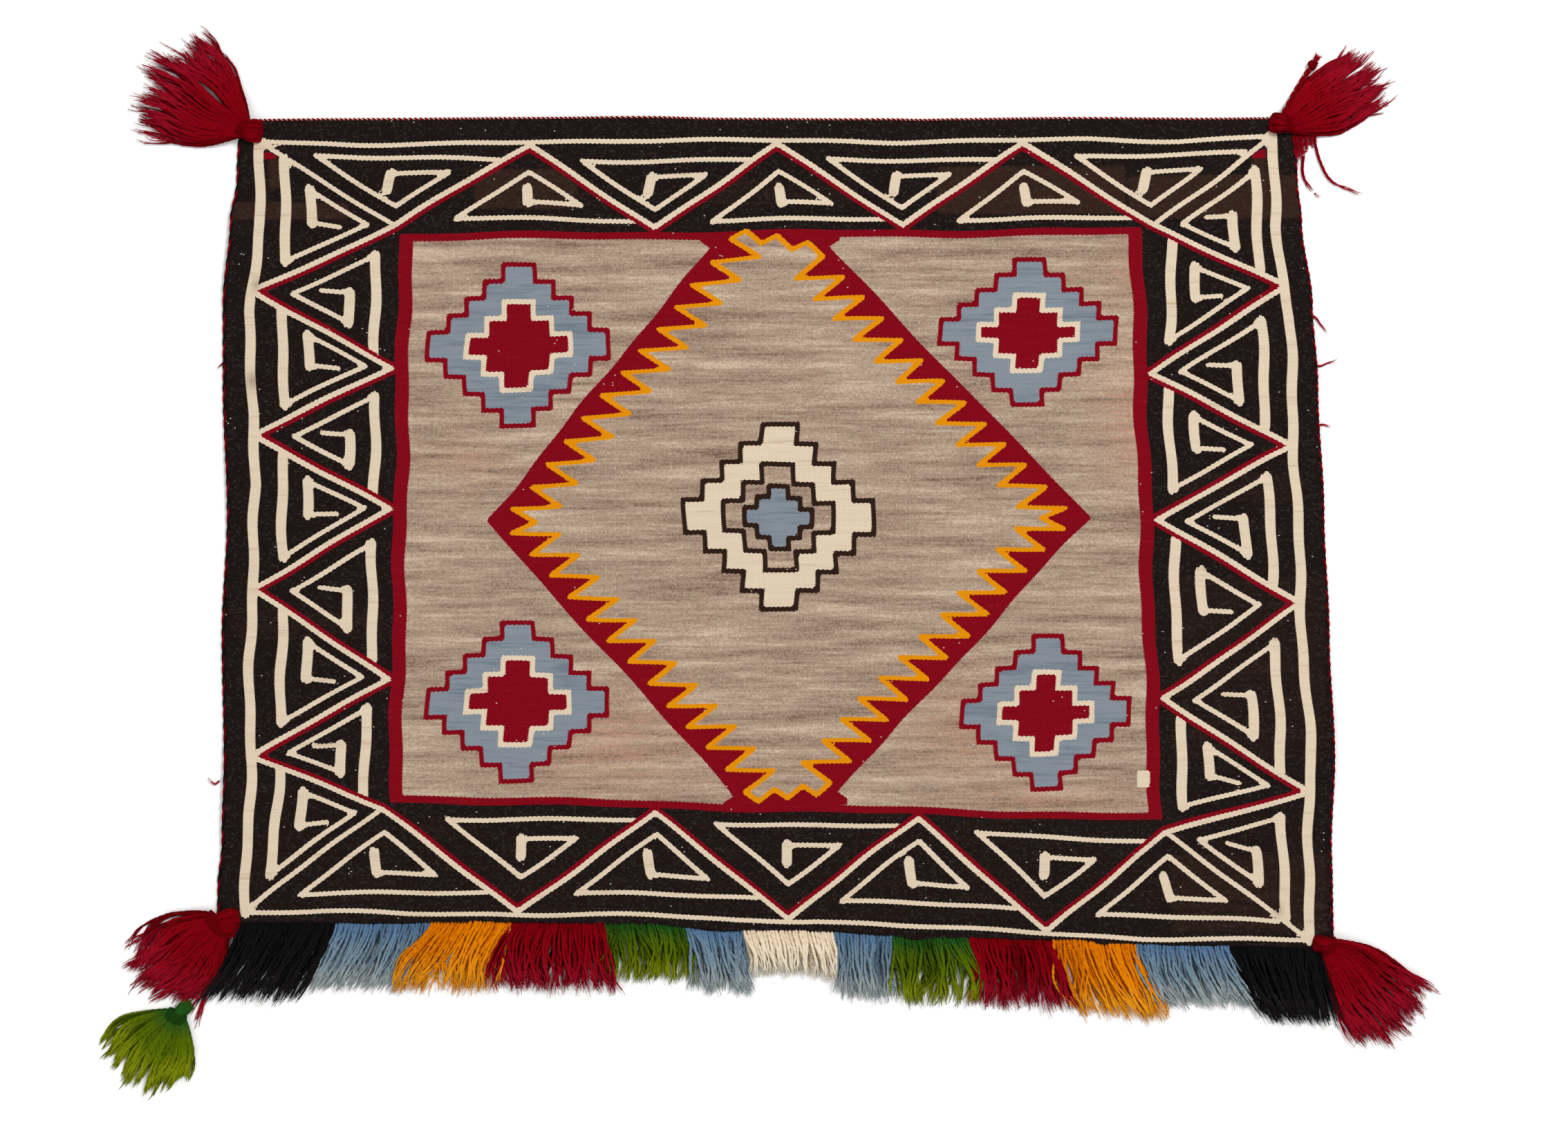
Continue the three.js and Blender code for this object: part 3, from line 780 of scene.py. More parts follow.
def weave_material():
    """Weft-faced tapestry weave: upright ribs over the warp, packed picks across them."""
    s = Shader("weave", WOOL_ROUGHNESS)
    object_place = s.node("ShaderNodeTexCoord").outputs["Object"]
    axes = s.node("ShaderNodeSeparateXYZ", {0: object_place}).outputs
    x, y = s.math("MULTIPLY", axes[0], 1000.0), s.math("MULTIPLY", axes[1], 1000.0)

    def whole_steps(value, size):
        return s.math("FLOOR", s.math("DIVIDE", value, size))

    def hump(value, power):
        """A rounded hump over each whole step of value."""
        wave = s.math("SINE", s.math("MULTIPLY", value, math.pi))
        return s.math("POWER", s.math("ABSOLUTE", wave), power)

    def wool_noise(x_scale, y_scale, seed, detail):
        scaled = s.combine(s.math("MULTIPLY", x, x_scale), s.math("MULTIPLY", y, y_scale), seed)
        return s.noise(scaled, detail)

    noises = {name: wool_noise(*settings) for name, settings in WOOL_NOISES.items()}
    streak, fine, mottle = noises["streak"], noises["fine"], noises["mottle"]

    column = s.math("DIVIDE", x, WARP_PITCH)
    whole_column = s.math("FLOOR", column)
    parity = s.math("MODULO", s.math("ABSOLUTE", whole_column), 2.0)
    pick = s.math("MULTIPLY_ADD", parity, PICK_SHIFT, s.math("DIVIDE", y, PICK_PITCH))
    whole_pick = s.math("FLOOR", pick)
    rib, bead = hump(column, 0.7), hump(pick, 0.6)

    # Colour edges: even teeth where an edge runs level, uneven jags where it runs upright.
    wave = s.math("SINE", s.math("MULTIPLY", column, math.pi))
    uneven_place = s.combine(whole_column, whole_steps(y, 12.0), 6.0)
    uneven = s.math("MULTIPLY_ADD", s.chance(uneven_place), 1.1, 0.45)
    tooth = s.math("MULTIPLY", s.math("MULTIPLY", wave, uneven), TOOTH_DEPTH)
    jag_row = s.math("DIVIDE", y, JAG_PITCH)
    jag_whole = s.math("FLOOR", jag_row)
    jag_place = s.combine(jag_whole, whole_steps(x, JAG_REACH))
    jag_side = s.math("ABSOLUTE", s.math("SUBTRACT", s.math("SUBTRACT", jag_row, jag_whole), 0.5))
    jag_wave = s.math("MULTIPLY_ADD", jag_side, 4.0, -1.0)
    jag_size = s.math("MULTIPLY_ADD", s.chance(jag_place), JAG_DEPTH, 0.1 * JAG_DEPTH)
    jag = s.math("MULTIPLY", jag_wave, jag_size)
    ragged = s.blend(s.attribute("upright"), tooth, jag)

    # Heathered field: long streaks across the cloth, and a speckle from pick to pick.
    cell = s.chance(s.combine(whole_column, whole_pick, 3.0))
    tone = s.math("MULTIPLY", fine, 0.6)
    for part, weight in ((streak, 1.25), (cell, 0.18), (mottle, 0.4), (noises["grain"], 0.9)):
        tone = s.math("MULTIPLY_ADD", part, weight, tone)
    field = s.mix(s.between(tone, 1.2, 1.68), FIELD_DARK, FIELD_MIDDLE)
    field = s.mix(s.between(tone, 1.6, 2.1), field, FIELD_LIGHT)
    stain = s.math("MULTIPLY", s.attribute("stain"), s.between(fine, 0.3, 0.65))
    field = s.mix(s.math("MULTIPLY", stain, 0.7), field, DYE)

    # Black yarn with bands of natural brown, and cream, red and blue yarn.
    browned = s.math("MULTIPLY_ADD", noises["band"], 0.55, s.attribute("brown"))
    black = s.mix(s.between(browned, 0.62, 1.15), BLACK, BROWN)
    dust = s.between(s.math("ADD", cell, mottle), 1.2, 1.6)
    black = s.mix(s.math("MULTIPLY", dust, 0.33), black, BLACK_DUSTY)
    cream = s.mix(s.between(s.math("ADD", streak, fine), 1.05, 1.45), CREAM, CREAM_STAIN)
    soil = s.math("MULTIPLY", s.attribute("soil"), s.math("MULTIPLY_ADD", rib, -0.7, 1.1))
    cream = s.mix(soil, cream, SOIL)
    red = s.mix(s.between(s.math("ADD", fine, mottle), 1.05, 1.5), RED, RED_WORN)
    blue = s.mix(s.between(s.math("ADD", streak, fine), 0.9, 1.3), BLUE, BLUE_DARK)

    # White warp that shows through as small flecks.
    crowd = s.between(noises["flecks"], 0.42, 0.75)
    fleck_cell = s.chance(s.combine(whole_column, whole_pick, 17.0))
    fleck = s.math("GREATER_THAN", s.math("MULTIPLY_ADD", crowd, 0.0065, fleck_cell), 1.0)
    fleck = s.math("MULTIPLY", fleck, s.between(s.math("MULTIPLY", bead, rib), 0.45, 0.8))

    # The white lines are read by their sides, and by their core where two of them meet.
    line_jag = s.math("MULTIPLY", jag, 0.75 * LEVEL_LINE_HALF / UPRIGHT_LINE_HALF)
    line_ragged = s.blend(s.attribute("upright"), tooth, line_jag)
    across = s.math("ABSOLUTE", s.math("ADD", s.attribute("line_across"), line_ragged))
    on_line = s.math("LESS_THAN", across, LEVEL_LINE_HALF)
    near_line = s.math("LESS_THAN", s.attribute("line_edge"), LINE_SLACK)
    in_core = s.math("LESS_THAN", s.attribute("line_edge"), -LINE_CORE)
    white = s.math("MAXIMUM", s.math("MULTIPLY", on_line, near_line), in_core)

    def inside(name, limit):
        """1 where the point lies within the named part's edge at that distance."""
        return s.math("LESS_THAN", s.math("ADD", s.attribute(name), ragged), limit)

    zigzag = s.math("ADD", s.attribute("zigzag"), ragged)
    on_zigzag = s.math("COMPARE", zigzag, ZIGZAG_WHITE / 2, ZIGZAG_WHITE / 2)
    on_red = s.math("COMPARE", zigzag, -ZIGZAG_RED / 2, ZIGZAG_RED / 2)

    # Where each part of the pattern is, and its yarn, from the lowest to the uppermost.
    base = black
    for share, paint in (
        (inside("corner_marks", 0.0), red),
        (white, cream),
        (on_zigzag, cream),
        (on_red, red),
        (inside("frame_outside", 0.0), red),
        (inside("frame_inside", 0.0), field),
        (inside("diamond", 0.0), red),
        (inside("serration", GOLD_HALF), GOLD),
        (inside("serration", -GOLD_HALF), field),
        (inside("figures", 0.0), red),
        (inside("figures", FIGURE_BLUE_AT), blue),
        (inside("figures", FIGURE_WHITE_AT), cream),
        (inside("figures", FIGURE_CENTRE_AT), red),
        (inside("lozenge", 0.0), OUTLINE),
        (inside("lozenge", LOZENGE_WHITE_AT), cream),
        (inside("lozenge", LOZENGE_INNER_AT), OUTLINE),
        (inside("lozenge", LOZENGE_GROUND_AT), field),
        (inside("cross", 0.0), OUTLINE),
        (inside("cross", LOZENGE_WHITE_AT), blue),
        (inside("mend", 0.0), cream),
        (s.math("MULTIPLY", fleck, 0.85), WARP_FLECK),
    ):
        base = s.mix(share, base, paint)

    # Tone that differs at random from pick to pick, and painted shade in the hollows between the ribs and
    # between the picks.
    shade = s.chance(s.combine(whole_pick, whole_steps(x, 160.0), 4.0))
    shade = s.math("MULTIPLY_ADD", shade, 0.07, 0.85)
    for part, weight in ((rib, 0.07), (bead, 0.04)):
        shade = s.math("MULTIPLY_ADD", part, weight, shade)
    grey = s.node("ShaderNodeCombineColor", {0: shade, 1: shade, 2: shade}).outputs[0]
    base = s.mix(1.0, base, grey, "MULTIPLY")
    height = s.math("MULTIPLY", rib, s.math("MULTIPLY_ADD", bead, 0.45, 0.55))
    height = s.math("MULTIPLY_ADD", fine, 0.25, height)
    return s.finish(base, height, WEAVE_RELIEF)


def yarn_material(name, deep, root, middle, tip):
    """Soft plied yarn whose colour changes from its root to its tip, mixed towards its deep colour as
    painted shade where its tone is low.
    """
    s = Shader(name, WOOL_ROUGHNESS)
    around = s.node("ShaderNodeUVMap", uv_map="Yarn").outputs[0]
    axes = s.node("ShaderNodeSeparateXYZ", {0: around}).outputs
    along, tone = s.attribute("along"), s.attribute("tone")
    near = s.mix(s.between(along, 0.0, 0.45), root, middle)
    bright = s.mix(s.between(along, 0.45, 0.95), near, tip)
    fibre_place = s.combine(
        s.math("MULTIPLY", axes[0], 3.0),
        s.math("MULTIPLY", axes[1], 0.22),
        s.math("MULTIPLY", tone, 60.0),
    )
    fibre = s.noise(fibre_place, 3.0)
    # Low tone mixes the colour towards deep, a painted shade; the fibre noise adds tone that differs at
    # random.
    light = s.math("MULTIPLY_ADD", tone, 0.75, -0.1)
    light = s.math("MULTIPLY_ADD", fibre, 0.7, light)
    # Less painted shade towards the tip.
    light = s.math("MULTIPLY_ADD", s.between(along, 0.7, 1.0), 0.35, light)
    base = s.mix(s.between(light, 0.05, 0.95), deep, bright)
    return s.finish(base, fibre, YARN_RELIEF)


# Colours of each yarn: in its shade, at its root, along its length and at its tip.
YARN_COLOURS = {
    "black": [(9, 8, 9), (17, 15, 16), (20, 18, 19), (30, 27, 29)],
    "blue": [(56, 75, 90), (84, 114, 146), (116, 138, 152), (160, 170, 170)],
    "gold": [(158, 56, 0), (212, 120, 2), (222, 132, 5), (232, 156, 30)],
    "red": [(68, 0, 1), (122, 1, 14), (134, 3, 18), (152, 16, 36)],
    "green": [(24, 38, 1), (28, 78, 24), (84, 104, 5), (128, 138, 16)],
    "white": [(190, 168, 140), (224, 206, 179), (232, 217, 192), (236, 225, 206)],
}
YARNS = {
    name: yarn_material(f"yarn_{name}", *(colour(*shade) for shade in shades))
    for name, shades in YARN_COLOURS.items()
}
WEAVE = weave_material()

# Cloth


def make_blanket():
    """The cloth as a closed sheet of even thickness, with its pattern stored on the grid."""
    u, v = np.meshgrid(np.linspace(0, 1, CLOTH_COLUMNS + 1), np.linspace(0, 1, CLOTH_ROWS + 1))
    plan = cloth_plan(u, v)
    x, y = plan[:, :, 0], plan[:, :, 1]
    side_share = np.abs(2 * u - 1) ** 14
    x = x + side_share * np.sign(u - 0.5) * SIDE_SCALLOP * np.sin(y / 2.9 + 3 * np.sin(y / 31))
    plan = np.stack([x, y], axis=-1)
    pucker = np.sin(x / 31 + 2 * np.sin(y / 57)) * np.sin(y / 23 + 1.5 * np.sin(x / 71))
    pucker += 0.6 * np.sin(x / 13 + y / 19) * np.sin(x / 47 - y / 29)
    inner = 1 - np.maximum(np.abs(2 * u - 1), np.abs(2 * v - 1)) ** 10
    under = lift(x, y) + PUCKER_HEIGHT * np.clip(0.5 + 0.4 * pucker, 0, 1) * inner
    rim = (u == 0) | (u == 1) | (v == 0) | (v == 1)
    bottom = np.dstack([plan, under + EDGE_ROUNDING * rim])
    top = np.dstack([plan, under + CLOTH_THICKNESS - EDGE_ROUNDING * rim])
    points = np.concatenate([bottom.reshape(-1, 3), top.reshape(-1, 3)])

    columns, count = CLOTH_COLUMNS + 1, (CLOTH_COLUMNS + 1) * (CLOTH_ROWS + 1)
    a = (np.arange(CLOTH_ROWS)[:, None] * columns + np.arange(CLOTH_COLUMNS)).ravel()
    upper_faces = np.stack([a, a + 1, a + columns + 1, a + columns], axis=1) + count
    lower, right = np.arange(CLOTH_COLUMNS), np.arange(CLOTH_ROWS) * columns + CLOTH_COLUMNS
    upper = CLOTH_ROWS * columns + np.arange(CLOTH_COLUMNS, 0, -1)
    left = np.arange(CLOTH_ROWS, 0, -1) * columns
    ring = np.concatenate([lower, right, upper, left])
    after = np.roll(ring, -1)
    walls = np.stack([ring, after, after + count, ring + count], axis=1)
    faces = underside_faces(columns) + upper_faces.tolist() + walls.tolist()
    used = np.zeros(2 * count, bool)
    used[[corner for face in faces for corner in face]] = True
    renumber = np.cumsum(used) - 1
    faces = [[int(renumber[corner]) for corner in face] for face in faces]
    points = points[used]
    piece = add_piece("blanket_cloth", place(points), faces, WEAVE, ["blanket"])

    flat = plan.reshape(-1, 2)
    fields = pattern_fields(flat)
    fields["upright"] = edge_uprightness(fields, plan).ravel()
    fields["brown"] = soft_bands(flat)
    fields["stain"] = stains(flat, DYE_STAINS)
    fields["soil"] = stains(flat, SOILED)
    for name, values in fields.items():
        add_attribute(piece, name, np.concatenate([values, values])[used])
    lay_out_cloth(piece, u.ravel(), v.ravel(), used, len(walls))
    area = abs(polygon_area(flat[ring]))
    width, length = np.ptp(x) / 1000, np.ptp(y) / 1000
    return piece, (float(width), float(length)), float(area / 1e6)


def underside_faces(columns):
    """Large faces of the underside, whose outer ones also hold the corners of the fine rim."""
    step, faces = UNDERSIDE_STEP, []
    for row in range(0, CLOTH_ROWS, step):
        for column in range(0, CLOTH_COLUMNS, step):
            at_left, at_right = column == 0, column == CLOTH_COLUMNS - step
            left = [(row + i) * columns + column for i in range(step if at_left else 1)]
            right = [(row + i) * columns + column + step for i in range(step if at_right else 1)]
            lower = range(column + 1, column + step) if row == 0 else []
            upper = range(column + 1, column + step) if row == CLOTH_ROWS - step else []
            loop = left + [(row + step) * columns + i for i in (column, *upper, column + step)]
            faces.append(loop + right[::-1] + [*reversed(lower)])
    return faces


def polygon_area(corners):
    """Area inside a closed outline, with a sign for the way round."""
    x, y = corners[:, 0], corners[:, 1]
    return 0.5 * float(np.sum(x * np.roll(y, -1) - y * np.roll(x, -1)))


def lay_out_cloth(piece, u, v, used, wall_count):
    """Texture layout for export: the top large, the underside in a strip below it."""
    margin, split = 0.006, 0.2
    across = (margin + (1 - 2 * margin) * np.concatenate([u, u]))[used]
    low = margin + (split - 2 * margin) * v
    high = split + margin + (1 - split - 2 * margin) * v
    up = np.concatenate([low, high])[used]
    corner = np.zeros(len(piece.data.loops), np.int32)
    piece.data.loops.foreach_get("vertex_index", corner)
    layout = np.stack([across[corner], up[corner]], axis=1)
    walls = layout[-4 * wall_count :].reshape(-1, 4, 2)
    walls[:, :2] = walls[:, 3:1:-1]
    middle = np.array([0.5, (1 + split) / 2])
    away = walls[:, :2] - middle
    at_rim = np.abs(away) > (0.4999 - margin, (1 - split) / 2 - margin - 0.0001)
    walls[:, :2] += np.sign(away) * at_rim * margin * 0.6
    layer = piece.data.uv_layers.new(name="OFBake")
    layer.data.foreach_set("uv", layout.astype(np.float32).ravel())


# Yarn

STRANDS = 3
STRAND_OFFSET = 0.38
STRAND_RADIUS = 0.74
PLY_LENGTH = 19.0
FLOOR_GAP = 0.1

# Waves of a yarn that wanders: length and height of each.
YARN_WAVES = [(2.1, 0.3), (4.3, 0.6), (8.5, 1.0)]


def unit(degrees):
    """Plan vector of length 1 in a direction."""
    return np.array([math.cos(math.radians(degrees)), math.sin(math.radians(degrees))])


def small_waves(length, size):
    """Offsets of a yarn that wanders a little along its length."""
    total = np.zeros_like(length)
    starts = chance.uniform(0, 2 * math.pi, len(YARN_WAVES))
    for (reach, height), start in zip(YARN_WAVES, starts):
        total += height * np.sin(length / reach + start)
    return size * total


class Yarn:
    """Gathers yarns, which are tubes along paths, into one mesh."""

    def __init__(self):
        self.points, self.faces, self.layout = [], [], []
        self.along, self.tone = [], []
        self.count = 0

    def add(self, path, radius, sides, tone, across=(0, 0, 1), start=0.0, end=1.0):
        """One yarn. radius may change along it, and start and end are its colour places."""
        path = np.asarray(path, float)
        number = len(path)
        radius = np.broadcast_to(np.asarray(radius, float), (number,))
        along = unit_rows(np.gradient(path, axis=0))
        side = unit_rows(np.cross(along, across))
        up = np.cross(side, along)
        turn = np.linspace(0, 2 * np.pi, sides, endpoint=False)[None, :, None]
        ring = np.cos(turn) * side[:, None] + np.sin(turn) * up[:, None]
        points = path[:, None] + ring * radius[:, None, None]
        self.points.append(points.reshape(-1, 3))

        a = (np.arange(number - 1)[:, None] * sides + np.arange(sides)).ravel()
        b = (np.arange(number - 1)[:, None] * sides + (np.arange(sides) + 1) % sides).ravel()
        quads = np.stack([a, b, b + sides, a + sides], axis=1) + self.count
        first = self.count + np.arange(sides)[::-1]
        last = self.count + (number - 1) * sides + np.arange(sides)
        self.faces += [*quads.tolist(), first.tolist(), last.tolist()]

        length = lengths(path)
        near = np.repeat(length[:-1], sides)
        far = np.repeat(length[1:], sides)
        left = np.tile(np.arange(sides) / sides, number - 1)
        right = left + 1 / sides
        corners = [(left, near), (right, near), (right, far), (left, far)]
        layout = np.stack([np.stack(corner, axis=1) for corner in corners], axis=1)
        self.layout += [layout.reshape(-1, 2), np.zeros((2 * sides, 2))]
        share = length / max(length[-1], 1e-9)
        self.along.append(np.repeat(start + (end - start) * share, sides))
        # tone is how far the yarn's colour stays from its deep colour; low tone is painted shade.
        self.tone.append(np.full(number * sides, tone))
        self.count += number * sides

    def add_plied(self, path, radius, tone, sides, parted, spread):
        """A yarn of twisted strands, which part from each other and crimp towards its tip."""
        path = np.asarray(path, float)
        length = lengths(path)
        share = length / length[-1]
        first = chance.uniform(0, 2 * math.pi)
        for strand in range(STRANDS):
            at = share * chance.uniform(0.88, 1.0)
            line = np.stack([np.interp(at, share, path[:, axis]) for axis in range(3)], axis=1)
            along = unit_rows(np.gradient(line, axis=0))
            side = unit_rows(np.stack([along[:, 1], -along[:, 0], np.zeros(len(at))], axis=1))
            loose = smoothstep(share, parted, 1.0)
            angle = first + 2 * math.pi * (strand / STRANDS + length / PLY_LENGTH)
            beside = STRAND_OFFSET * radius * np.cos(angle) * (1 - loose)
            beside += loose * (spread * chance.uniform(-1, 1) + small_waves(length, 0.3 * spread))
            line += side * beside[:, None]
            thick = STRAND_RADIUS * radius * np.interp(share, [0, parted, 1], [1, 0.9, 0.18])
            line[:, 2] += STRAND_OFFSET * radius * np.sin(angle) * (1 - 0.7 * loose)
            line[:, 2] = np.maximum(line[:, 2], thick + FLOOR_GAP)
            self.add(line, thick, sides, tone + chance.uniform(-0.12, 0.12))

    def finish(self, name, yarn, replaced=()):
        points = place(np.concatenate(self.points))
        material, slot = YARNS[yarn], f"{yarn}_yarn"
        piece = add_piece(name, points, self.faces, material, replaced)
        add_attribute(piece, "along", np.concatenate(self.along))
        add_attribute(piece, "tone", np.concatenate(self.tone))
        layout = piece.data.uv_layers.new(name="Yarn")
        layout.data.foreach_set("uv", np.concatenate(self.layout).astype(np.float32).ravel())
        return piece


def smooth_path(points, count):
    """Evenly numbered points on a smooth curve through the given ones."""
    points = np.asarray(points, float)
    padded = np.concatenate([[2 * points[0] - points[1]], points, [2 * points[-1] - points[-2]]])
    places = np.linspace(0, len(points) - 1, count)
    i = np.minimum(places.astype(int), len(points) - 2)
    t = (places - i)[:, None]
    a, b, c, d = padded[i], padded[i + 1], padded[i + 2], padded[i + 3]
    square, cube = 2 * a - 5 * b + 4 * c - d, 3 * b - a - 3 * c + d
    return 0.5 * (2 * b + (c - a) * t + square * t**2 + cube * t**3)


# Fringe: colour, root places and length of each section. swing is how far the yarns at its
# left and right side bow sideways half way down, spread how far their tips do, wander how far
# a yarn strays, and layers how many yarns lie on each other.
FRINGE_COLUMNS = "colour start end length swing spread wander layers"
FRINGE_ROWS = [
    ("black", -503.8, -414, 62.5, (0, 0), (0, 0), 3.5, 4),
    ("blue", -414, -324, 54, (0, 0), (0, 0), 3, 3),
    ("gold", -324, -248, 56, (-9, -7), (-7, -3), 6, 4),
    ("red", -248, -161, 54.5, (-14, 7), (-2, 2), 8, 5),
    ("green", -161, -86, 44, (3, 5), (3, -2), 5, 3),
    ("blue", -86, -30.6, 50, (5, 2), (-7, 9), 4, 3),
    ("white", -30.6, 54, 35, (3, 2), (11, 3), 3, 4),
    ("blue", 54, 109, 52, (1, 0), (0, 0), 3, 3),
    ("green", 109, 181, 52.5, (0, 8), (0, -3), 5, 3),
    ("red", 181, 260, 55.5, (4, 4), (0, 0), 6, 4),
    ("gold", 260, 339, 61, (0, 0), (0, 2), 5, 3),
    ("blue", 339, 426, 47.5, (-3, -2), (-4, 2), 5, 3),
    ("black", 426, 513.5, 61, (0, 0), (0, 0), 4, 4),
]
FRINGE_SECTIONS = [dict(zip(FRINGE_COLUMNS.split(), row)) for row in FRINGE_ROWS]

# How far the yarns lean along x, LEAN_DEPTH below the cloth, at each x of the root.
FRINGE_LEAN = table("at lean", [
    (-504, -32), (-414, -30), (-324, -27), (-248, -14), (-161, 2), (-70, 11),
    (-10, 1), (109, 6), (181, 7), (260, 18), (426, 30), (514, 11),
])
LEAN_DEPTH = 60.0
YARN_PITCH = 3.0
YARN_RADIUS = 1.5
YARNS_TOGETHER = 4
GATHERED = 0.7
HEADING_DEPTH = 6.5
LAYER_HEIGHT = 1.75
ARCHED_SHARE = 0.08
ARCH_REACH = (5, 11)
FRINGE_REST = 1.6
FRINGE_WAVE = 0.8
FRINGE_LIFT_WAVE = 0.25


def lower_edge(x):
    """The lower edge's y at x."""
    return read(END_EDGES, "bottom", np.asarray(x, float))


def fringe_shift(x, depth):
    """How far a yarn from x has moved sideways at a depth below the cloth's edge."""
    share = np.maximum(depth, 0) / LEAN_DEPTH
    wave = 1.6 * np.sin(x / 21) * np.sin(np.pi * np.clip(share, 0, 1.25) * 0.8)
    return read(FRINGE_LEAN, "lean", np.asarray(x, float)) * share**1.3 + wave


def frayed_tip(yarn, path, radius, tone, count, spread):
    """Loose fibres that spread from the end of a yarn."""
    end, direction = path[-1], unit_rows(path[-1] - path[-3])
    side = np.array([-direction[1], direction[0], 0])
    for _ in range(count):
        reach = chance.uniform(3, 8)
        stray = chance.uniform(-spread, spread)
        start = path[-1 - int(chance.integers(1, 4))] + side * chance.uniform(-0.6, 0.6)
        middle = start + direction * reach * 0.5 + side * stray * 0.35
        tip = end + direction * reach * 0.7 + side * stray
        tip[2] = max(end[2] + chance.uniform(-0.5, 0.6), 0.3)
        fibre = smooth_path([start, middle, tip], 4)
        yarn.add(fibre, radius * np.array([0.42, 0.34, 0.24, 0.06]), 3, tone, start=0.85)


def fringe_path(section, x, reach, layer, drift, gather):
    """One fringe yarn from the cloth's edge to its tip. drift is its neighbours' way."""
    rise = 0.9 * math.sin(x / 24 + 1) + 0.5 * drift[1]
    depth = np.concatenate([[-rise - 1.2, -rise, 1.5], np.linspace(4.5, reach, 13)])
    share = np.clip(depth / reach, 0, 1)
    side = (x - section["start"]) / (section["end"] - section["start"])
    wander = section["wander"]
    stray = (0.75 * drift[0] + chance.normal(0, 0.4)) * wander * (0.5 + 0.5 * (layer > 0))
    swing = (0.75 * drift[1] + chance.normal(0, 0.3)) * wander
    turn = drift[2] + chance.normal(0, 0.4)
    bow = np.sin(np.pi * share)
    shift = fringe_shift(x, depth) + stray * share**1.7 + gather * share**1.4
    shift += swing * (np.sin(share * 4.5 + turn) - math.sin(turn)) * share
    shift += (section["swing"][0] * (1 - side) + section["swing"][1] * side) * bow
    shift += (section["spread"][0] * (1 - side) + section["spread"][1] * side) * share**1.5
    shift += small_waves(depth, FRINGE_WAVE) * np.clip(depth / 8, 0, 1)
    if layer and chance.random() < ARCHED_SHARE:
        shift += chance.choice([-1, 1]) * chance.uniform(*ARCH_REACH) * bow
    edge = float(lower_edge(x))
    above = CLOTH_THICKNESS + float(lift(np.array(x), np.array(edge)))
    rest = FRINGE_REST + LAYER_HEIGHT * layer + chance.uniform(0, 1.4)
    if layer == section["layers"] - 1:
        heights = [above, above + 0.9, rest + 0.8, rest * 0.8]
        height = np.interp(depth, [-rise, 4, 14, reach], heights)
        height[0] = above - 1.5
    else:
        start = min(FRINGE_REST + layer * 0.8, above - 0.4)
        height = np.interp(depth, [-6, 0, 14, reach], [start, start, rest, rest * 0.8])
        depth = np.maximum(depth, -0.5 + 0.1 * np.arange(len(depth)))
    height = height + small_waves(depth, FRINGE_LIFT_WAVE) * np.clip(depth / 10, 0, 1)
    height = np.maximum(height, FRINGE_REST - 0.8 * share**3)
    return np.stack([x + shift, edge - depth, height], axis=1)


def make_fringe(number, section):
    """The yarns of one section in layers, the lowest first."""
    yarn = Yarn()
    width = section["end"] - section["start"]
    count = round(width / YARN_PITCH)
    for layer in range(section["layers"]):
        top = layer == section["layers"] - 1
        groups = chance.normal(0, 1, (count // YARNS_TOGETHER + 2, 3))
        groups[:, 2] = chance.uniform(0, 2 * math.pi, len(groups))
        for i in range(count):
            x = section["start"] + (i + 0.5 + chance.uniform(-0.25, 0.25)) * width / count
            x = min(max(x, section["start"] + 0.8), section["end"] - 0.8)
            place_in_group = (i + layer * 1.5) % YARNS_TOGETHER + 0.5 - YARNS_TOGETHER / 2
            drift = groups[int(i + layer * 1.5) // YARNS_TOGETHER]
            reach = HEADING_DEPTH + section["length"] * reach_share(section, x)
            reach *= 1.04 * (1 - 0.015 * layer) * (1 + 0.03 * drift[0] + chance.normal(0, 0.04))
            gathered = GATHERED if top else 0.0
            gather = -gathered * place_in_group * YARN_PITCH + chance.normal(0, 1.2)
            path = fringe_path(section, x, reach, layer, drift, gather)
            # Lower layers are darker, a painted shade under the yarns above them; tone also differs at
            # random by group and yarn.
            tone = 0.25 + 0.5 * (layer + 0.6) / section["layers"]
            tone += 0.16 * drift[0] + chance.normal(0, 0.13)
            radius = YARN_RADIUS * chance.uniform(0.85, 1.1) * (1 if top else 1.2)
            yarn.add_plied(path, radius, tone, 4 if top else 3, 0.55, 2.0)
    name = f"fringe_{number:02d}_{section['colour']}"
    return yarn.finish(f"{name}_yarns", section["colour"], [name])


def reach_share(section, x):
    """The white section is shorter in its middle than at its sides."""
    if section["colour"] != "white":
        return 1.0
    side = (x - section["start"]) / (section["end"] - section["start"])
    return 0.92 + 0.5 * (side - 0.42) ** 2 + 0.25 * max(side - 0.7, 0)


# Tassels: neck, middle direction and whole spread of the fan in degrees, reach at its right
# side, middle and left side, how far those sides curve out, and the head that grips the cloth.
TASSEL_COLUMNS = (
    "name colour at heading spread reach bulge neck head_turn head_length head_width on_cloth yarns"
)
TASSEL_ROWS = [
    ("top_left", "red", (-498, 371), 146, 70, (108, 114, 110), (0.85, 0.85), 14, -5, 16, 22, True, 150),
    ("top_right", "red", (478, 376), 31, 44, (98, 116, 88), (0.68, 0.5), 13, 168, 14, 19, True, 140),
    ("bottom_left", "red", (-522, -373), 222, 58, (94, 108, 84), (0.82, 0.72), 25, 0, 18, 27, True, 150),
    ("bottom_right", "red", (519, -393), -51, 54, (104, 127, 107), (0.5, 0.7), 15, 176, 14, 16, True, 140),
    ("green", "green", (-562, -459), 239, 84, (78, 85, 68), (1.15, 0.95), 16, 42, 16.2, 13, False, 140),
]
TASSELS = [dict(zip(TASSEL_COLUMNS.split(), row)) for row in TASSEL_ROWS]

# Direction and reach of the yarns that hang away from a tassel's fan.
TASSEL_TAILS = {"bottom_left": (256, 104)}

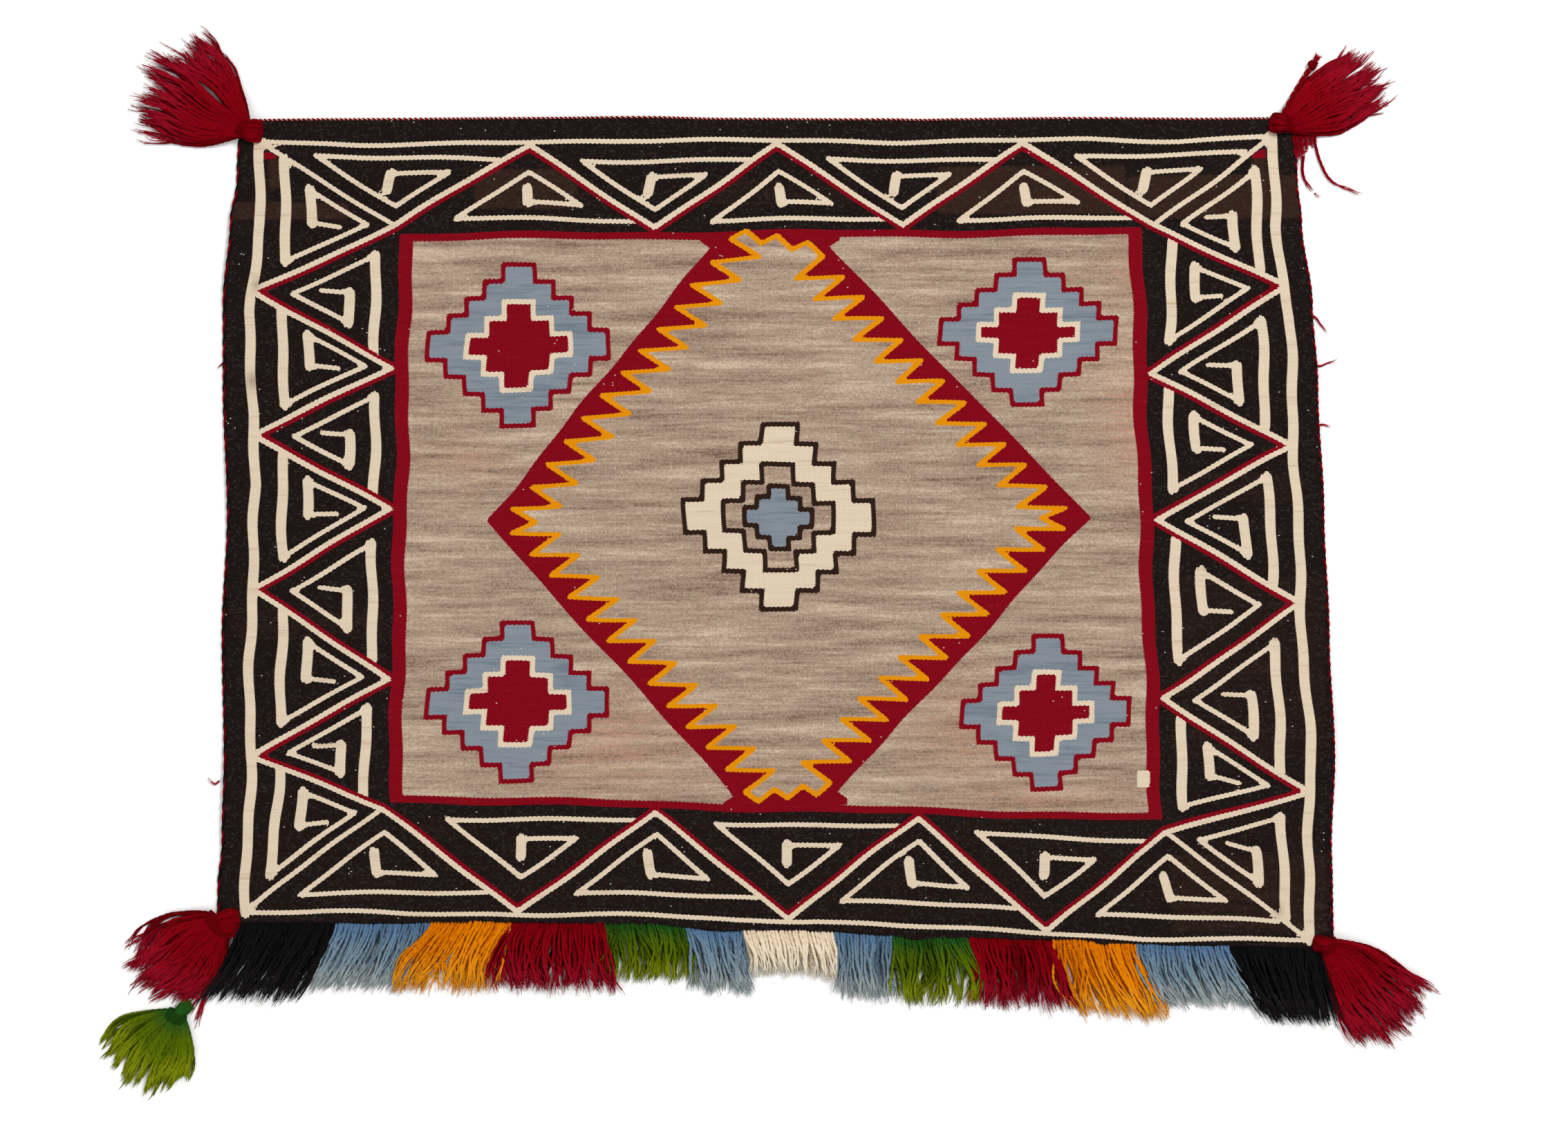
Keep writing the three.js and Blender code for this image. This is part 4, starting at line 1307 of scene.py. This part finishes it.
# Sizes that the tassels share: heights of the fan over its lowest yarn, the head and the tie.
TASSEL_YARN_RADIUS = 1.6
CLEAR_OF_CLOTH = 16.0
FALL_TO_FLOOR = 30.0
FAN_HEIGHT_AT_NECK = 5.5
FAN_HEIGHT_ON_FLOOR = 7.6
FAN_REST = 1.4
HEAD_HEIGHT = 9.0
HEAD_YARN_RADIUS = 1.5
TIE_YARN_RADIUS = 1.25
TIE_PITCH = 2.3
TASSEL_LAYERS = 4
TASSEL_STEPS = 19
CLUMPS_IN_A_FAN = 13
LOWEST_CLUMP_STRENGTH = 0.4
HIGHEST_CLUMP_STRENGTH = {"red": 1.0, "green": 0.6}
TASSEL_WAVE = {"red": 3.9, "green": 2.0}


def fan_path(tassel, side, length, level, clump):
    """One tassel yarn. side runs from -0.5, right of the heading, to 0.5, left.

    length is its share of the tassel's reach, level its place from the lowest layer, 0, to the
    uppermost, 1, and clump how far its tip turns towards its neighbours, as a share of the fan.
    """
    neck, ahead = np.array(tassel["at"], float), unit(tassel["heading"])
    left = unit(tassel["heading"] + 90)
    right_reach, middle_reach, left_reach = tassel["reach"]
    far = right_reach if side < 0 else left_reach
    reach = length * (middle_reach + (far - middle_reach) * 2 * abs(side))
    bulge = tassel["bulge"][0] + (tassel["bulge"][1] - tassel["bulge"][0]) * (side + 0.5)
    root = left * side * tassel["neck"]
    bend = left * side * (tassel["neck"] * 1.4 + reach * bulge) + ahead * reach * 0.36
    tip = unit(tassel["heading"] + tassel["spread"] * side) * reach
    t = np.linspace(0, 1, TASSEL_STEPS)
    plan = np.outer((1 - t) ** 2, root) + np.outer(2 * t * (1 - t), bend) + np.outer(t**2, tip)
    turn = np.radians(tassel["spread"] * clump) * smoothstep(t, 0.3, 1.0)
    x = plan[:, 0] * np.cos(turn) - plan[:, 1] * np.sin(turn) + neck[0]
    y = plan[:, 0] * np.sin(turn) + plan[:, 1] * np.cos(turn) + neck[1]
    distance = np.hypot(x - neck[0], y - neck[1])
    base = (CLOTH_THICKNESS + 0.9 if tassel["on_cloth"] else 0.4) + 1.0
    at_neck = base + level * FAN_HEIGHT_AT_NECK * np.sqrt(max(1 - (1.7 * side) ** 2, 0.1))
    on_floor = FAN_REST + level * FAN_HEIGHT_ON_FLOOR * (1 - 0.35 * abs(2 * side))
    fallen = smoothstep(distance, CLEAR_OF_CLOTH, CLEAR_OF_CLOTH + FALL_TO_FLOOR)
    height = at_neck + (on_floor - at_neck) * fallen
    height = np.maximum(height * (1 - 0.3 * t**3), FAN_REST - 0.6 * t**3)
    return np.column_stack([x, y, height])


def wave_sideways(path, size, start):
    """A yarn's soft waves, which grow towards its tip."""
    share = np.linspace(0, 1, len(path))
    along = unit_rows(np.gradient(path[:, :2], axis=0))
    turns = chance.uniform(1.1, 1.7)
    sway = size * share**1.2 * (np.sin(start + share * turns * 2 * math.pi) - math.sin(start))
    waved = path.copy()
    waved[:, 0] -= along[:, 1] * sway
    waved[:, 1] += along[:, 0] * sway
    return waved


def make_tassel(tassel):
    """A dense fan of yarns whose tips gather into clumps."""
    yarn = Yarn()
    blunt = tassel["colour"] == "green"
    clumps = chance.uniform(0, 1, (CLUMPS_IN_A_FAN + 1, 3))
    wave_starts = np.cumsum(chance.normal(0, 0.9, CLUMPS_IN_A_FAN + 1))
    for i in range(tassel["yarns"]):
        level = (i % TASSEL_LAYERS + chance.uniform(0, 0.7)) / TASSEL_LAYERS
        side = ((i * 0.618034) % 1 - 0.5) * (1 - 0.2 * level)
        place_in_fan = (side + 0.5) * CLUMPS_IN_A_FAN + 0.3 * level
        group, wave_start = clumps[int(place_in_fan)], wave_starts[int(place_in_fan)]
        pull = (math.floor(place_in_fan) + 0.3 + 0.4 * group[0] - place_in_fan) / CLUMPS_IN_A_FAN
        reach = (1 - 0.12 * level) * (0.9 + 0.14 * group[1] + chance.normal(0, 0.04))
        highest = HIGHEST_CLUMP_STRENGTH[tassel["colour"]]
        strength = LOWEST_CLUMP_STRENGTH + (highest - LOWEST_CLUMP_STRENGTH) * level
        path = fan_path(tassel, side, reach, level, strength * pull)
        wave_start += chance.normal(0, 0.4)
        path = wave_sideways(path, TASSEL_WAVE[tassel["colour"]], wave_start)
        # Lower levels are darker, a painted shade under the yarns above them; tone also differs at random
        # by clump and yarn.
        tone = 0.1 + 0.55 * level + 0.2 * group[2] + chance.normal(0, 0.15)
        add_tassel_yarn(yarn, path, tone, blunt)
    for path in tail_paths(tassel):
        add_tassel_yarn(yarn, path, 0.5, blunt)
    add_head(yarn, tassel)
    name = f"tassel_{tassel['name']}"
    yarn.finish(f"{name}_yarns", tassel["colour"], [name])


def add_tassel_yarn(yarn, path, tone, blunt):
    """The green yarns stay twisted almost to their cut ends, and the red ones fray."""
    radius = TASSEL_YARN_RADIUS * chance.uniform(0.85, 1.15)
    parted, spread = (0.85, 1.4) if blunt else (0.6, 2.2)
    yarn.add_plied(path, radius, tone, 4, parted, spread)


def tail_paths(tassel):
    """A few yarns that hang away from the fan on one side."""
    if tassel["name"] not in TASSEL_TAILS:
        return []
    heading, reach = TASSEL_TAILS[tassel["name"]]
    neck, ahead = np.array(tassel["at"], float), unit(heading)
    beside, paths = unit(heading + 90), []
    for i in range(4):
        far = reach * chance.uniform(0.86, 1)
        shares = np.linspace(0.12, 1, 14)
        side = (i - 1.5) * 1.6 * (1 - 0.6 * shares) + 3.5 * np.sin(shares * 3)
        plan = neck + np.outer(shares * far, ahead) + np.outer(side, beside)
        height = np.interp(shares, [0.12, 0.45, 1], [4.6, 2.2, 1.4])
        paths.append(np.column_stack([plan, height]))
    return paths


def add_head(yarn, tassel):
    """Yarns that loop over the cloth's corner, and the tie round the neck."""
    base = CLOTH_THICKNESS + 0.2 if tassel["on_cloth"] else 0.2
    neck, back = np.array(tassel["at"], float), unit(tassel["head_turn"])
    left = unit(tassel["head_turn"] + 90)
    ahead, beside = unit(tassel["heading"]), unit(tassel["heading"] + 90)
    loops = max(round(tassel["head_width"] / 2.4), 5)
    for layer, grow in ((0, 1.0), (1, 0.72)):
        for i in range(loops):
            side = ((i + 0.5) / loops - 0.5) * grow
            rounding = math.sqrt(max(1 - (1.5 * side) ** 2, 0.25))
            crown = HEAD_HEIGHT * (0.62 + 0.3 * layer) * rounding
            near = neck + ahead * 4 - beside * side * tassel["neck"] * 0.8
            spread = left * side * tassel["head_width"]
            length = tassel["head_length"] * (1 - 0.18 * layer) * (1 - 0.5 * side**2)
            plan = [near, neck + spread * 0.7, neck + back * length * 0.5 + spread]
            plan.append(neck + back * length * 0.92 + spread * 0.95)
            plan.append(neck + back * length + spread * 0.8)
            rises = [crown * 0.8, crown, crown, crown * 0.45, -0.6]
            points = [(x, y, max(base + rise, 1.6)) for (x, y), rise in zip(plan, rises)]
            tone = float(np.clip(chance.normal(0.5, 0.2), 0, 1))
            yarn.add(smooth_path(points, 14), HEAD_YARN_RADIUS, 6, tone, end=0.1)
    turn = np.linspace(0, 2 * math.pi, 25)
    for wrap in range(4):
        centre = neck + ahead * (TIE_PITCH * wrap - 1.5)
        wide, high = tassel["neck"] * 0.56, HEAD_HEIGHT * 0.5
        sine, cosine = np.sin(turn), np.cos(turn)
        ring = centre + np.outer(cosine, beside * wide) + np.outer(sine, ahead * 0.5)
        height = np.maximum(base + high + high * sine, 1.35)
        ring = np.column_stack([ring, height])
        yarn.add(ring, TIE_YARN_RADIUS, 6, 0.3, across=(*ahead, 0), end=0.1)


# Selvage cords

# Along each side: length of one turn of the plies, points on a ply, and yarn and radius of each.
SELVAGES = {
    "left": (23, 500, [("red", 0.9), ("black", 0.9)]),
    "right": (13, 600, [("red", 1.0), ("black", 0.7)]),
    "top": (4.4, 1600, [("red", 0.9), ("white", 0.36)]),
}
PLY_OFFSET = 0.6
SELVAGE_ENDS = (0.012, 0.988)
SELVAGE_HEIGHT = 1.75
SELVAGE_OUT = 0.35
TUFT_HEIGHT = 1.2
TUFT_RADIUS = 1.1
TUFT_STEPS = 9

# Loose ends of the red selvage yarn.
TUFTS = {
    "left": [
        [(-515, 154), (-520, 152), (-523, 149)],
        [(-523, -240), (-527, -243), (-531, -240)],
    ],
    "right": [
        [(501, 199), (508, 195), (512, 189), (517, 183)],
        [(505, 151), (512, 150), (519, 153), (525, 155)],
        [(508, 94), (514, 95), (519, 94)],
    ],
    "top": [],
}


def edge_plan(side, share):
    """Plan of the cloth's edge on one side, at each share of its length."""
    if side == "top":
        return cloth_plan(share, np.ones_like(share))
    return cloth_plan(np.full_like(share, side == "right"), share)


def make_selvage(side):
    """Two plies twisted round each other along one edge of the cloth, with loose yarn ends."""
    pitch, steps, plies = SELVAGES[side]
    plan = edge_plan(side, np.linspace(*SELVAGE_ENDS, steps))
    length = lengths(plan)
    outward = np.array(OUTWARD[side], float)
    centre = plan + outward * SELVAGE_OUT
    height = SELVAGE_HEIGHT + lift(plan[:, 0], plan[:, 1])
    uneven = 2.4 * np.sin(length / 37) + 1.5 * np.sin(length / 17 + 1)
    for ply, (yarn_colour, radius) in enumerate(plies):
        turn = 2 * np.pi * (length + uneven) / pitch + np.pi * ply
        beside = centre + outward * PLY_OFFSET * np.cos(turn)[:, None]
        path = np.column_stack([beside, height + PLY_OFFSET * np.sin(turn)])
        yarn = Yarn()
        yarn.add(path, radius, 4, 0.6, start=0.1, end=0.4)
        for tuft in TUFTS[side] if yarn_colour == "red" else []:
            loose = smooth_path([(x, y, TUFT_HEIGHT) for x, y in tuft], TUFT_STEPS)
            share = np.linspace(0, 1, TUFT_STEPS)
            thin = TUFT_RADIUS * np.interp(share, [0, 0.6, 1], [1, 0.9, 0.3])
            yarn.add(loose, thin, 5, 0.7, start=0.6)
            frayed_tip(yarn, loose, 0.9, 0.7, 3, 2.5)
        yarn.finish(f"selvage_{side}_{yarn_colour}_{ply}", yarn_colour, [f"selvage_cord_{side}"])


blanket, flat_size, flat_area = make_blanket()
fringe = [make_fringe(i + 1, section) for i, section in enumerate(FRINGE_SECTIONS)]
for tassel in TASSELS:
    make_tassel(tassel)
for side in SELVAGES:
    make_selvage(side)

# Flap and loose ends beside the top right tassel

CORD_POINTS = [(474, 381), (484, 400), (496, 420), (509, 440)]
CORD_REST = 3.0
CORD_TURN = 17.0
CORD_PLY_OFFSET = 1.35
CORD_STEPS = 40
CORD_STRAND_RADIUS = 1.5
FLAP_CORNERS = [(485, 369), (514, 370), (490, 340)]
FLAP_RIBS = 12
FLAP_CROSS_YARNS = (0.12, 0.38, 0.62)
FLAP_RIB_RADIUS = 1.25
FLAP_CROSS_RADIUS = 0.9
FLAP_TAIL_RADIUS = 1.35
FLAP_TAILS = [
    [(506, 362), (512, 341), (523, 323), (548, 312)],
    [(496, 347), (495, 334), (498, 323), (508, 311)],
]


def make_flap():
    """Small ribbed corner of red weave with a frayed foot, and two loose yarn tails."""
    yarn = Yarn()
    a, b, c = (np.array(corner, float) for corner in FLAP_CORNERS)
    for i in range(FLAP_RIBS):
        share = (i + 0.5) / FLAP_RIBS
        top, foot = a + (b - a) * share, c + (b - c) * share
        down = unit_rows(foot - top)
        foot = foot + down * chance.uniform(-1.5, 4) + down[::-1] * (1, -1) * chance.normal(0, 1)
        shares = np.linspace(0, 1, 12)
        plan = top + np.outer(shares, foot - top)
        plan[:, 0] += small_waves(shares * 24, 0.3)
        height = 1.3 + 0.5 * np.sin(math.pi * shares) + 0.2 * (i % 2)
        # Every other rib lies lower and is darker, a painted shade, with tone that differs at random.
        tone = 0.45 + 0.2 * (i % 2) + chance.normal(0, 0.1)
        yarn.add_plied(np.column_stack([plan, height]), FLAP_RIB_RADIUS, tone, 4, 0.72, 1.8)
    for share in FLAP_CROSS_YARNS:
        left, right = a + (c - a) * share - (1, 0), b + (c - b) * share
        across = smooth_path([(*left, 1.6), (*right, 1.6)], 14)
        yarn.add(across, FLAP_CROSS_RADIUS, 4, 0.4)
    for tail in FLAP_TAILS:
        path = smooth_path([(x, y, 1.5) for x, y in tail], 22)
        yarn.add_plied(path, FLAP_TAIL_RADIUS, 0.6, 4, 0.6, 2.2)
        frayed_tip(yarn, path, 1.0, 0.6, 4, 3.0)
    yarn.finish("corner_flap_yarns", "red", ["corner_flap"])


def make_cord_end():
    """Twisted two-ply end of the selvage cord, which falls from the cloth to the floor."""
    centre = smooth_path([(x, y, 0) for x, y in CORD_POINTS], CORD_STEPS)
    length = lengths(centre)
    on_floor = smoothstep(length, 10, 34)
    centre[:, 2] = CORD_REST + (CLOTH_THICKNESS + 0.3) * (1 - on_floor)
    yarn = Yarn()
    along = unit_rows(np.gradient(centre, axis=0))
    side = unit_rows(np.cross(along, (0, 0, 1)))
    for ply in range(2):
        turn = 2 * np.pi * length / CORD_TURN + np.pi * ply
        path = centre + side * CORD_PLY_OFFSET * np.cos(turn)[:, None]
        path[:, 2] += CORD_PLY_OFFSET * np.sin(turn)
        yarn.add(path, CORD_STRAND_RADIUS, 6, 0.5 + 0.1 * ply, end=0.5)
    return yarn.finish("cord_end", "red"), centre, float(length[-1])


KNOT_WRAPS = 4
KNOT_PITCH = 1.7
KNOT_HALF_WIDTH = 3.3
KNOT_HALF_HEIGHT = 2.9
KNOT_YARN_RADIUS = 1.2
KNOT_STRAYS = (-2.6, -1.2, 0.3, 1.6, 3.0)


def make_knot(line):
    """The knot at the cord's end: yarn wound over the cord, and the loose strands past it."""
    yarn = Yarn()
    ahead = unit_rows(line[-1] - line[-6])
    side = np.array([-ahead[1], ahead[0], 0])
    turn = np.linspace(0, 2 * math.pi, 19)
    for wrap in range(KNOT_WRAPS):
        centre = line[-7] + ahead * (KNOT_PITCH * wrap)
        wide = KNOT_HALF_WIDTH + 0.5 * math.sin(wrap * 1.3)
        slant = ahead * 0.9 * np.cos(turn + wrap)[:, None]
        ring = centre + side * wide * np.cos(turn)[:, None] + slant
        ring[:, 2] = np.maximum(centre[2] + KNOT_HALF_HEIGHT * np.sin(turn), 1.3)
        yarn.add(ring, KNOT_YARN_RADIUS, 6, 0.4, across=ahead, end=0.3)
    for stray in KNOT_STRAYS:
        reach = chance.uniform(2, 4)
        tip = line[-1] + ahead * reach + side * stray * 1.4
        tip[2] = 0.9
        middle = line[-1] + ahead * reach * 0.45 + side * stray * 0.9
        path = smooth_path([line[-3] + side * stray * 0.4, middle, tip], 7)
        yarn.add(path, 0.75 * np.linspace(1, 0.3, 7), 4, 0.6, start=0.5)
    return yarn.finish("cord_end_knot", "red")


make_flap()
cord_end, cord_line, cord_length = make_cord_end()
cord_knot = make_knot(cord_line)

# Floor, light and camera, in metres

FLOOR_HALF = 9.0
AMBIENT_STRENGTH = 0.45

# Lights: name, place, size and power in watts.
LIGHTS = [
    ("key_light", (2.6, 2.9, 4.1), 2.0, 236),
    ("fill_light", (-2.8, -2.0, 3.2), 3.0, 66),
]

floor_shader = Shader("pale_floor", 0.9)
floor_shader.surface.inputs["Base Color"].default_value = colour(251, 251, 250)
floor_mesh = bpy.data.meshes.new("floor")
floor_corners = [(x * FLOOR_HALF, y * FLOOR_HALF, 0) for x, y in ((-1, -1), (1, -1), (1, 1), (-1, 1))]
floor_mesh.from_pydata(floor_corners, [], [(0, 1, 2, 3)])
floor_mesh.materials.append(floor_shader.material)
floor = bpy.data.objects.new("floor", floor_mesh)
bpy.context.scene.collection.objects.link(floor)


def add_area_light(name, at, size, power):
    """A square soft light that faces the middle of the cloth."""
    light = bpy.data.lights.new(name, "AREA")
    light.size, light.energy = size, power
    lamp = bpy.data.objects.new(name, light)
    lamp.location = at
    lamp.rotation_euler = Vector(at).to_track_quat("Z", "Y").to_euler()
    bpy.context.scene.collection.objects.link(lamp)


for light_settings in LIGHTS:
    add_area_light(*light_settings)

world = bpy.data.worlds.new("studio")
world.use_nodes = True
world.node_tree.nodes["Background"].inputs["Color"].default_value = (1, 1, 1, 1)
world.node_tree.nodes["Background"].inputs["Strength"].default_value = AMBIENT_STRENGTH
bpy.context.scene.world = world
bpy.context.scene.view_settings.view_transform = "Standard"

# The photograph's frame in millimetres: its width on the floor, and its middle on the plan.
PHOTO_WIDTH = 1474.2
PHOTO_MIDDLE = (7.8, -36.1, 0)
LENS, SENSOR = 85.0, 36.0
camera = bpy.data.cameras.new("camera")
camera.lens, camera.sensor_width = LENS, SENSOR
viewer = bpy.data.objects.new("camera", camera)
middle = place(PHOTO_MIDDLE)
viewer.location = (middle[0], middle[1], PHOTO_WIDTH / 1000 * LENS / SENSOR)
bpy.context.scene.collection.objects.link(viewer)
bpy.context.scene.camera = viewer

place(cord_line[0])
place(cord_line)
